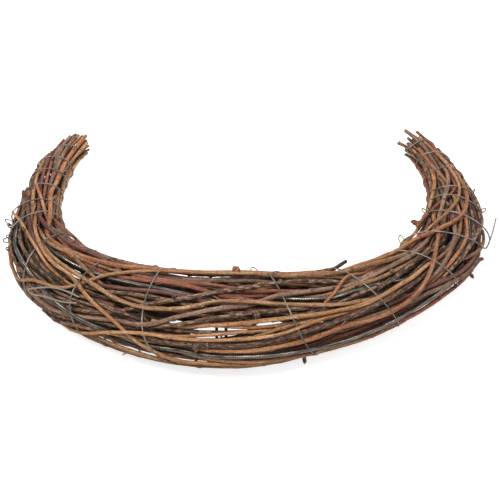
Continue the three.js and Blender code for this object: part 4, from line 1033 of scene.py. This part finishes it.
mainLines = {}
placedLines = []                        # every stem and shoot as built: ring angles, distance, height, radius
for index, name in enumerate(stemNodes):
    rng = np.random.default_rng(700 + index)
    piece = newPiece()
    rough = slotOf[name] in roughSlots
    tone = rng.uniform(0, 1)
    for line in bundleLines[name]:
        radius = line["radius"]
        built, at, frames = addStem(piece, rng, line["centres"], radius * stemShape["slimmer"], rough, tone,
                                    line["roots"])
        placedLines.append((ringAngleOf(built), distanceOf(built), built[:, 2], radius))
        mainLines.setdefault(name, built)
        addSideTwigs(piece, rng, built, frames, radius, tone)
        if rough:
            addFlakes(piece, rng, built, at, frames, radius, tone)
    for row in ownedBy(name, buds):
        addBud(piece, rng, name, *row, tone)
    for row in ownedBy(name, feet):
        addFoot(piece, rng, name, *row, tone)
    for angle, section, size in ownedBy(name, knots):
        way = planeDirection(angle, section)
        addKnot(piece, rng, pointOn(name, angle) + way * 0.7 * radius, way, size)
    finishPiece(piece, name.replace("stem_", "vine_"), slotOf[name], [name], hasCuts=True)
print("stems ready:", len(stemNodes))


# Thin vines inside the bundle, each laid through the free room where it hides most of what is still see-through
# from the photo's side. Lengths are millimetres and angles are degrees.

innerVines = {
    "most": 100,
    "radii": (1.15, 1.6),
    "finishes": ("stem_dark", "stem_mauve", "stem_wine", "stem_ochre", "stem_rust", "stem_tan"),
    "reach": 127,                       # ring angle, to both sides
    "grid": 2.0,                        # between the places tried in one section plane
    "gridHalf": (46, 32),
    "gap": -0.1,                        # room left to the other stems
    "fill": 0.84,                       # share of the bundle's half size that they may reach
    "mostRoom": 50.0,
    "cover": 0.65,                      # share of its width that a stem hides
    "coverLines": 9,                    # lines along a stem, and the step on each, that find what it hides
    "coverStep": 0.4,
    "seenCell": 0.5,                    # cell of the map of what is seen
    "seenHalf": (440, 300),             # half size of that map, in cells
    "worth": 2.0,                       # what a degree that hides a hole counts
    "cost": 0.05,                       # what every degree costs
    "turning": 0.15,                    # what a move to the next place of the grid costs
    "crowding": 2.0,                    # what a missing millimetre of room costs
    "holeWorth": -3,                    # of a hole that stays open, where others count 1
    "holeMargin": (1.0, 1.5),           # added to its half length and half height
    "enough": 0.35,                     # the least gain that a vine is laid for
    "outside": -9,                      # what a place outside the bundle counts
    "beyond": -99,                      # and one outside the grid
    "shortest": 24,
    "leastFree": -1,                    # the worst place that a short vine still runs on to
    "evenOver": 11,                     # degrees that a path is evened out over
    "placeEvery": 5,                    # between the places kept of a path
}
# Holes that stay open, as seen from the camera: right of its target, up, half length, half height, rise
openHoles = [(-27, -91, 25, 3.4, 3), (-147, -41, 11, 2.4, -31), (-97, -77, 9, 2.6, -15), (-55, -82, 9, 2.2, -4),
             (18, -84, 9, 1.8, 5), (-79, -86, 8, 1.8, -13), (-12, -108, 9, 1.2, 2), (134, -11, 5, 1.5, 42)]

viewTilt = math.radians(view["elevation"])
viewBack = np.array([0, -math.cos(viewTilt), math.sin(viewTilt)])
viewUp = np.array([0, math.sin(viewTilt), math.cos(viewTilt)])
seenHalf = np.array(innerVines["seenHalf"])


def seenCells(points):                  # numbers of the cells of the map that the camera sees points in
    offset = np.asarray(points) - view["target"]
    away = view["distance"] - offset @ viewBack
    seen = np.stack([offset[..., 0], offset @ viewUp], axis=-1) * (view["distance"] / away / mm)[..., None]
    cells = np.rint(seen / innerVines["seenCell"] + seenHalf).astype(int)
    return np.clip(cells, 0, 2 * seenHalf - 1) @ (2 * seenHalf[1], 1)


def spreadOut(seen):                    # the mean over a square of five cells
    for axis in (0, 1):
        seen = sum(np.roll(seen, step, axis) for step in range(-2, 3)) / 5
    return seen


def clearCells(seen, cells):
    seen.ravel()[cells] = np.minimum(seen.ravel()[cells], 0)


def clearBehind(seen, centres, radius):    # nothing is wanted any more where a stem hides what lies behind
    line, at = smoothLine(centres, innerVines["coverStep"] * mm)
    aside = np.cross(np.gradient(line, axis=0), np.cross(viewUp, (1, 0, 0)))
    aside /= np.linalg.norm(aside, axis=1)[:, None]
    for share in np.linspace(-innerVines["cover"], innerVines["cover"], innerVines["coverLines"]):
        clearCells(seen, seenCells(line + aside * share * radius))


def searchGrid():                       # section planes one degree apart, and the places tried in each
    angles = np.arange(-innerVines["reach"], innerVines["reach"] + 1)
    steps = [np.arange(-half, half + 1, innerVines["grid"]) for half in innerVines["gridHalf"]]
    across, upward = steps[0][None, :, None], steps[1][None, None]
    middle, level, halfWide, halfHigh = (
        np.interp(angles, outlineAngles, outlineRows[:, k])[:, None, None] / mm for k in range(4))
    distance = middle + across + 0 * upward
    height = level + 0 * across + upward
    turn = np.radians(angles)[:, None, None]
    places = np.stack([ringAxis[0] + distance * mm * np.sin(turn), ringAxis[1] - distance * mm * np.cos(turn),
                       height * mm], axis=-1)
    return {"angles": angles, "distance": distance, "height": height, "cells": seenCells(places),
            "inside": np.hypot(across / halfWide, upward / halfHigh) < innerVines["fill"],
            "room": np.full(distance.shape, innerVines["mostRoom"])}


def takeRoom(grid, angles, distances, heights, radius):    # less room is left beside a stem
    order = np.argsort(angles)
    span = (grid["angles"] >= angles[order[0]]) & (grid["angles"] <= angles[order[-1]])
    distance, height = (np.interp(grid["angles"][span], angles[order], values[order])[:, None, None] / mm
                        for values in (distances, heights))
    away = np.hypot(grid["distance"][span] - distance, grid["height"][span] - height) - radius / mm
    grid["room"][span] = np.minimum(grid["room"][span], away)


def wantedCells(grid):                  # 1 where the bundle is see-through, 0 where it isn't, less in an open hole
    wanted = np.zeros(2 * seenHalf)
    wanted.ravel()[grid["cells"][grid["inside"]]] = 1
    wanted = (spreadOut(wanted) > 0).astype(float)
    for angles, distances, heights, radius in placedLines:
        takeRoom(grid, angles, distances, heights, radius)
        line = np.array([ringPlace(*place) for place in zip(angles, distances, heights)])
        clearBehind(wanted, line[::3] if len(line) > 12 else line, radius)
    places = np.stack(np.meshgrid(*(np.arange(2 * half) - half for half in seenHalf), indexing="ij"), axis=-1)
    for right, up, halfLength, halfHeight, rise in openHoles:
        way = np.array([math.cos(math.radians(rise)), math.sin(math.radians(rise))])
        offset = places * innerVines["seenCell"] - (right, up)
        along, over = offset @ way, offset @ (-way[1], way[0])
        reach, rise = np.add((halfLength, halfHeight), innerVines["holeMargin"])
        wanted[np.hypot(along / reach, over / rise) < 1] = innerVines["holeWorth"]
    return wanted


moves = [(a, b) for a in (-1, 0, 1) for b in (-1, 0, 1)]


def bestPath(gain):                     # the path from plane to plane that gains most, or none if that is too little
    wide, high = gain.shape[1:]
    totals, cameFrom = [gain[0]], [np.full((wide, high), -1)]
    for own in gain[1:]:
        padded = np.pad(totals[-1], 1, constant_values=innerVines["beyond"])
        tries = np.stack([padded[1 + a:1 + a + wide, 1 + b:1 + b + high]
                          - innerVines["turning"] * (abs(a) + abs(b)) for a, b in moves])
        choice = tries.argmax(axis=0)
        ahead = np.take_along_axis(tries, choice[None], 0)[0]
        cameFrom.append(np.where(ahead > 0, choice, -1))
        totals.append(own + np.maximum(ahead, 0))
    totals = np.array(totals)
    if totals.max() < innerVines["enough"]:
        return []
    n, i, j = (int(k) for k in np.unravel_index(totals.argmax(), totals.shape))
    path = [(n, i, j)]
    while cameFrom[n][i, j] >= 0:
        a, b = moves[cameFrom[n][i, j]]
        n, i, j = n - 1, i + a, j + b
        path.append((n, i, j))
    return path[::-1]


def runOn(path, gain):                  # a short path runs on at both ends while there is room
    planes, wide, high = gain.shape
    for end, way, share in ((0, -1, 0.5), (-1, 1, 1)):
        while len(path) < innerVines["shortest"] * share:
            n, i, j = path[end]
            if not 0 <= n + way < planes:
                break
            ahead = [(gain[n + way, i + a, j + b], i + a, j + b) for a, b in moves
                     if 0 <= i + a < wide and 0 <= j + b < high]
            free, i, j = max(ahead)
            if free < innerVines["leastFree"]:
                break
            path.insert(0 if end == 0 else len(path), (n + way, i, j))
    return np.array(path)


def layInnerVines():
    rng = np.random.default_rng(31)
    grid = searchGrid()
    wanted = wantedCells(grid)
    evening = np.hanning(innerVines["evenOver"])
    evening = (evening / evening.sum())[1:-1]
    laid = []
    while len(laid) < innerVines["most"]:
        radius = rng.uniform(*innerVines["radii"])
        gain = innerVines["worth"] * spreadOut(wanted).ravel()[grid["cells"]] - innerVines["cost"]
        gain -= innerVines["crowding"] * np.maximum(0, radius + innerVines["gap"] - grid["room"])
        gain[~grid["inside"]] = innerVines["outside"]
        path = bestPath(gain)
        if not path:
            break
        path = runOn(path, gain)
        on = tuple(path.T)
        angles = grid["angles"][path[:, 0]].astype(float)
        distances, heights = (np.convolve(np.pad(grid[key][on], len(evening) // 2, mode="edge"), evening, "valid") * mm
                              for key in ("distance", "height"))
        count = max(3, round(len(path) / innerVines["placeEvery"]) + 1)
        keep = np.unique(np.linspace(0, len(path) - 1, count).astype(int))
        if len(keep) > 2:
            laid.append((radius * mm, np.array([ringPlace(angles[k], distances[k], heights[k]) for k in keep])))
            clearBehind(wanted, laid[-1][1], radius * mm)
        takeRoom(grid, angles, distances, heights, radius * mm)
        clearCells(wanted, grid["cells"][on])
    return laid


laidVines = layInnerVines()
for number, finish in enumerate(innerVines["finishes"]):
    rng = np.random.default_rng(90 + number)
    piece = newPiece()
    for radius, centres in laidVines[number::len(innerVines["finishes"])]:
        addStem(piece, rng, centres, radius, finish in roughSlots, rng.uniform(0.1, 0.8), kind="inner")
    finishPiece(piece, finish.replace("stem_", "inner_vines_"), finish, hasCuts=True, isInner=True)
print("inner vines ready:", len(laidVines))


# Dark tendrils and small loops of wire, in millimetres beside their angles

curlShape = {
    "tendrilRadius": 0.5 * mm,
    "loopRadius": 0.55 * mm,
    "loopDepth": 1.6,                   # below the skin, where a loop of wire starts and ends
}
# ring angle, section angle, length of the stalk, radius of the curl, turns, lean along the ring
tendrils = [
    (-80, 44, 3, 3.2, 1.3, -0.5),
    (-77, 20, 3, 2.6, 1.2, 0.6),
    (-74, 52, 3, 3.0, 1.4, 0.3),
    (-71, 30, 3, 2.6, 1.3, -0.6),
    (-68, 44, 3, 2.4, 1.1, 0.5),
    (-24, 160, 2, 2.0, 1.2, 0.5),
    (30, 158, 2, 1.9, 1.0, -0.4),
]
# ring angle, section angle, reach, half width, lean along the ring
wireLoops = [
    (-82, 20, 5.6, 3.0, -0.5),
    (-78.5, 12, 4.6, 2.8, 0.4),
    (-49, 152, 3.2, 2.8, 0.8),
    (3, 150, 4.2, 2.2, -0.5),
    (67, 160, 4.6, 3.2, 0.9),
    (77, 164, 3.4, 2.4, -0.6),
    (86, 168, 3.2, 2.4, 0.5),
    (88, 18, 3.4, 2.2, 0.4),
]


def skinPoint(angle, section):          # where the outermost stem lies in this direction
    across, rise = math.cos(math.radians(section)), math.sin(math.radians(section))
    found = []
    for angles, distances, heights, radius in placedLines:
        order = np.argsort(angles)
        if angles[order[0]] <= angle <= angles[order[-1]]:
            distance, height = (np.interp(angle, angles[order], values[order]) for values in (distances, heights))
            reach = distance * across + height * rise + radius
            found.append((reach, distance + radius * across, height + radius * rise))
    return ringPlace(angle, *max(found)[1:])


def alongRing(angle):
    return np.array([math.cos(math.radians(angle)), math.sin(math.radians(angle)), 0])


def curledLine(angle, section, stalk, curl, turns, lean):    # a stalk that rises from the skin and rolls up
    out = planeDirection(angle, section)
    aside = alongRing(angle) * np.sign(lean)
    base = skinPoint(angle, section) - out * (0.9 * curl + 0.5) * mm
    points = [base, base + (out * 0.7 + aside * abs(lean)) * stalk * 0.5 * mm]
    top = points[-1] + (out * 0.6 + aside * 0.8) * stalk * 0.5 * mm
    for share in np.linspace(0, 1, max(6, int(turns * 10)) + 1):
        turn = share * turns * 2 * math.pi
        radius = curl * (1 - 0.55 * share) * mm
        points.append(top + aside * radius * math.sin(turn) + out * (curl * mm - radius * math.cos(turn)) * 0.8
                      + np.cross(out, aside) * share * 1.2 * mm)
    return points


def loopLine(angle, section, reach, half, lean):    # out of the bundle, round, and in again beside itself
    share = np.linspace(0, 1, 13)
    wide = -half * np.cos(math.pi * share) * (1 + 0.5 * np.sin(math.pi * share))
    depth = curlShape["loopDepth"]
    high = -depth + (reach + depth) * np.sin(math.pi * share) ** 0.8
    return (skinPoint(angle, section) + np.outer(wide + lean * high, alongRing(angle)) * mm
            + np.outer(high, planeDirection(angle, section)) * mm)


def addCurls(name, lines, radius, slot):
    rng = np.random.default_rng(31)
    piece = newPiece()
    for line in lines:
        addTwig(piece, rng, line, [radius, radius, 0.85 * radius], 0.4, 0.2, 0.03, 7)
    finishPiece(piece, name, slot)


addCurls("tendrils", [curledLine(*row) for row in tendrils], curlShape["tendrilRadius"], "stem_dark")
addCurls("wire_loops", [loopLine(*row) for row in wireLoops], curlShape["loopRadius"], "binding_iron")
print("tendrils ready:", len(tendrils) + len(wireLoops))


# Steel rods and binding wire

rodShape = {"radius": 1.75 * mm, "sides": 14, "step": 0.28 * mm, "pitch": 1.35 * mm, "ribHeight": 0.17 * mm}
wireShape = {"radius": 0.62 * mm, "sides": 8, "step": 1.0 * mm, "lowest": 0.9 * mm, "smoothings": 3, "smooth": 0.35}
# Short upright bars of the frame, seen through the gap at the front
crossBars = {"angles": (-9.3, -6.5), "distance": 151 * mm, "bottom": 4 * mm, "top": 48 * mm, "radius": 1.2 * mm}
# node: name of the piece, how bright the iron is
wires = {
    "tie_strand": ("folded_strand_iron", 1.0),
    "binding_wire_left": ("wire_left_iron", 0.5),
    "binding_wire_right": ("wire_right_iron", 0.5),
}

for name in ("frame_rod_outer", "frame_rod_upper"):
    piece = newPiece()
    line, at = smoothLine(readStem(frame["nodes"][name])[0]["centres"], rodShape["step"])
    turn = turnsRound(rodShape["sides"])
    wave = np.cos(2 * math.pi * at[:, None] / rodShape["pitch"] + turn[None])
    # the mark is painted shade in the grooves between the ribs
    addTube(piece, line, at, np.full(len(at), rodShape["radius"]), rodShape["sides"], 0.5, 0.5 - 0.5 * wave,
            1 + rodShape["ribHeight"] / rodShape["radius"] * wave)
    finishPiece(piece, name.replace("frame_", "twisted_"), "frame_steel", [name])

rng = np.random.default_rng(47)
piece = newPiece()
for angle in crossBars["angles"]:
    heights = np.linspace(crossBars["bottom"], crossBars["top"], 4)
    points = [ringPlace(angle, crossBars["distance"], height) for height in heights]
    addTwig(piece, rng, points, [crossBars["radius"]] * 2, 0.8, 0.0, 0.03, 10, 1.2 * mm)
finishPiece(piece, "cross_bars", "frame_steel")

for name, (label, shade) in wires.items():
    piece = newPiece()
    path = readWire(frame["nodes"][name])
    for _ in range(wireShape["smoothings"]):
        path[1:-1] += wireShape["smooth"] * ((path[:-2] + path[2:]) / 2 - path[1:-1])
    line, at = smoothLine(path, wireShape["step"])
    line[:, 2] = np.maximum(line[:, 2], wireShape["lowest"])
    addTube(piece, line, at, np.full(len(at), wireShape["radius"]), wireShape["sides"], shade, 0.0)
    finishPiece(piece, label, "binding_iron", [name])
print("rods and wire ready")
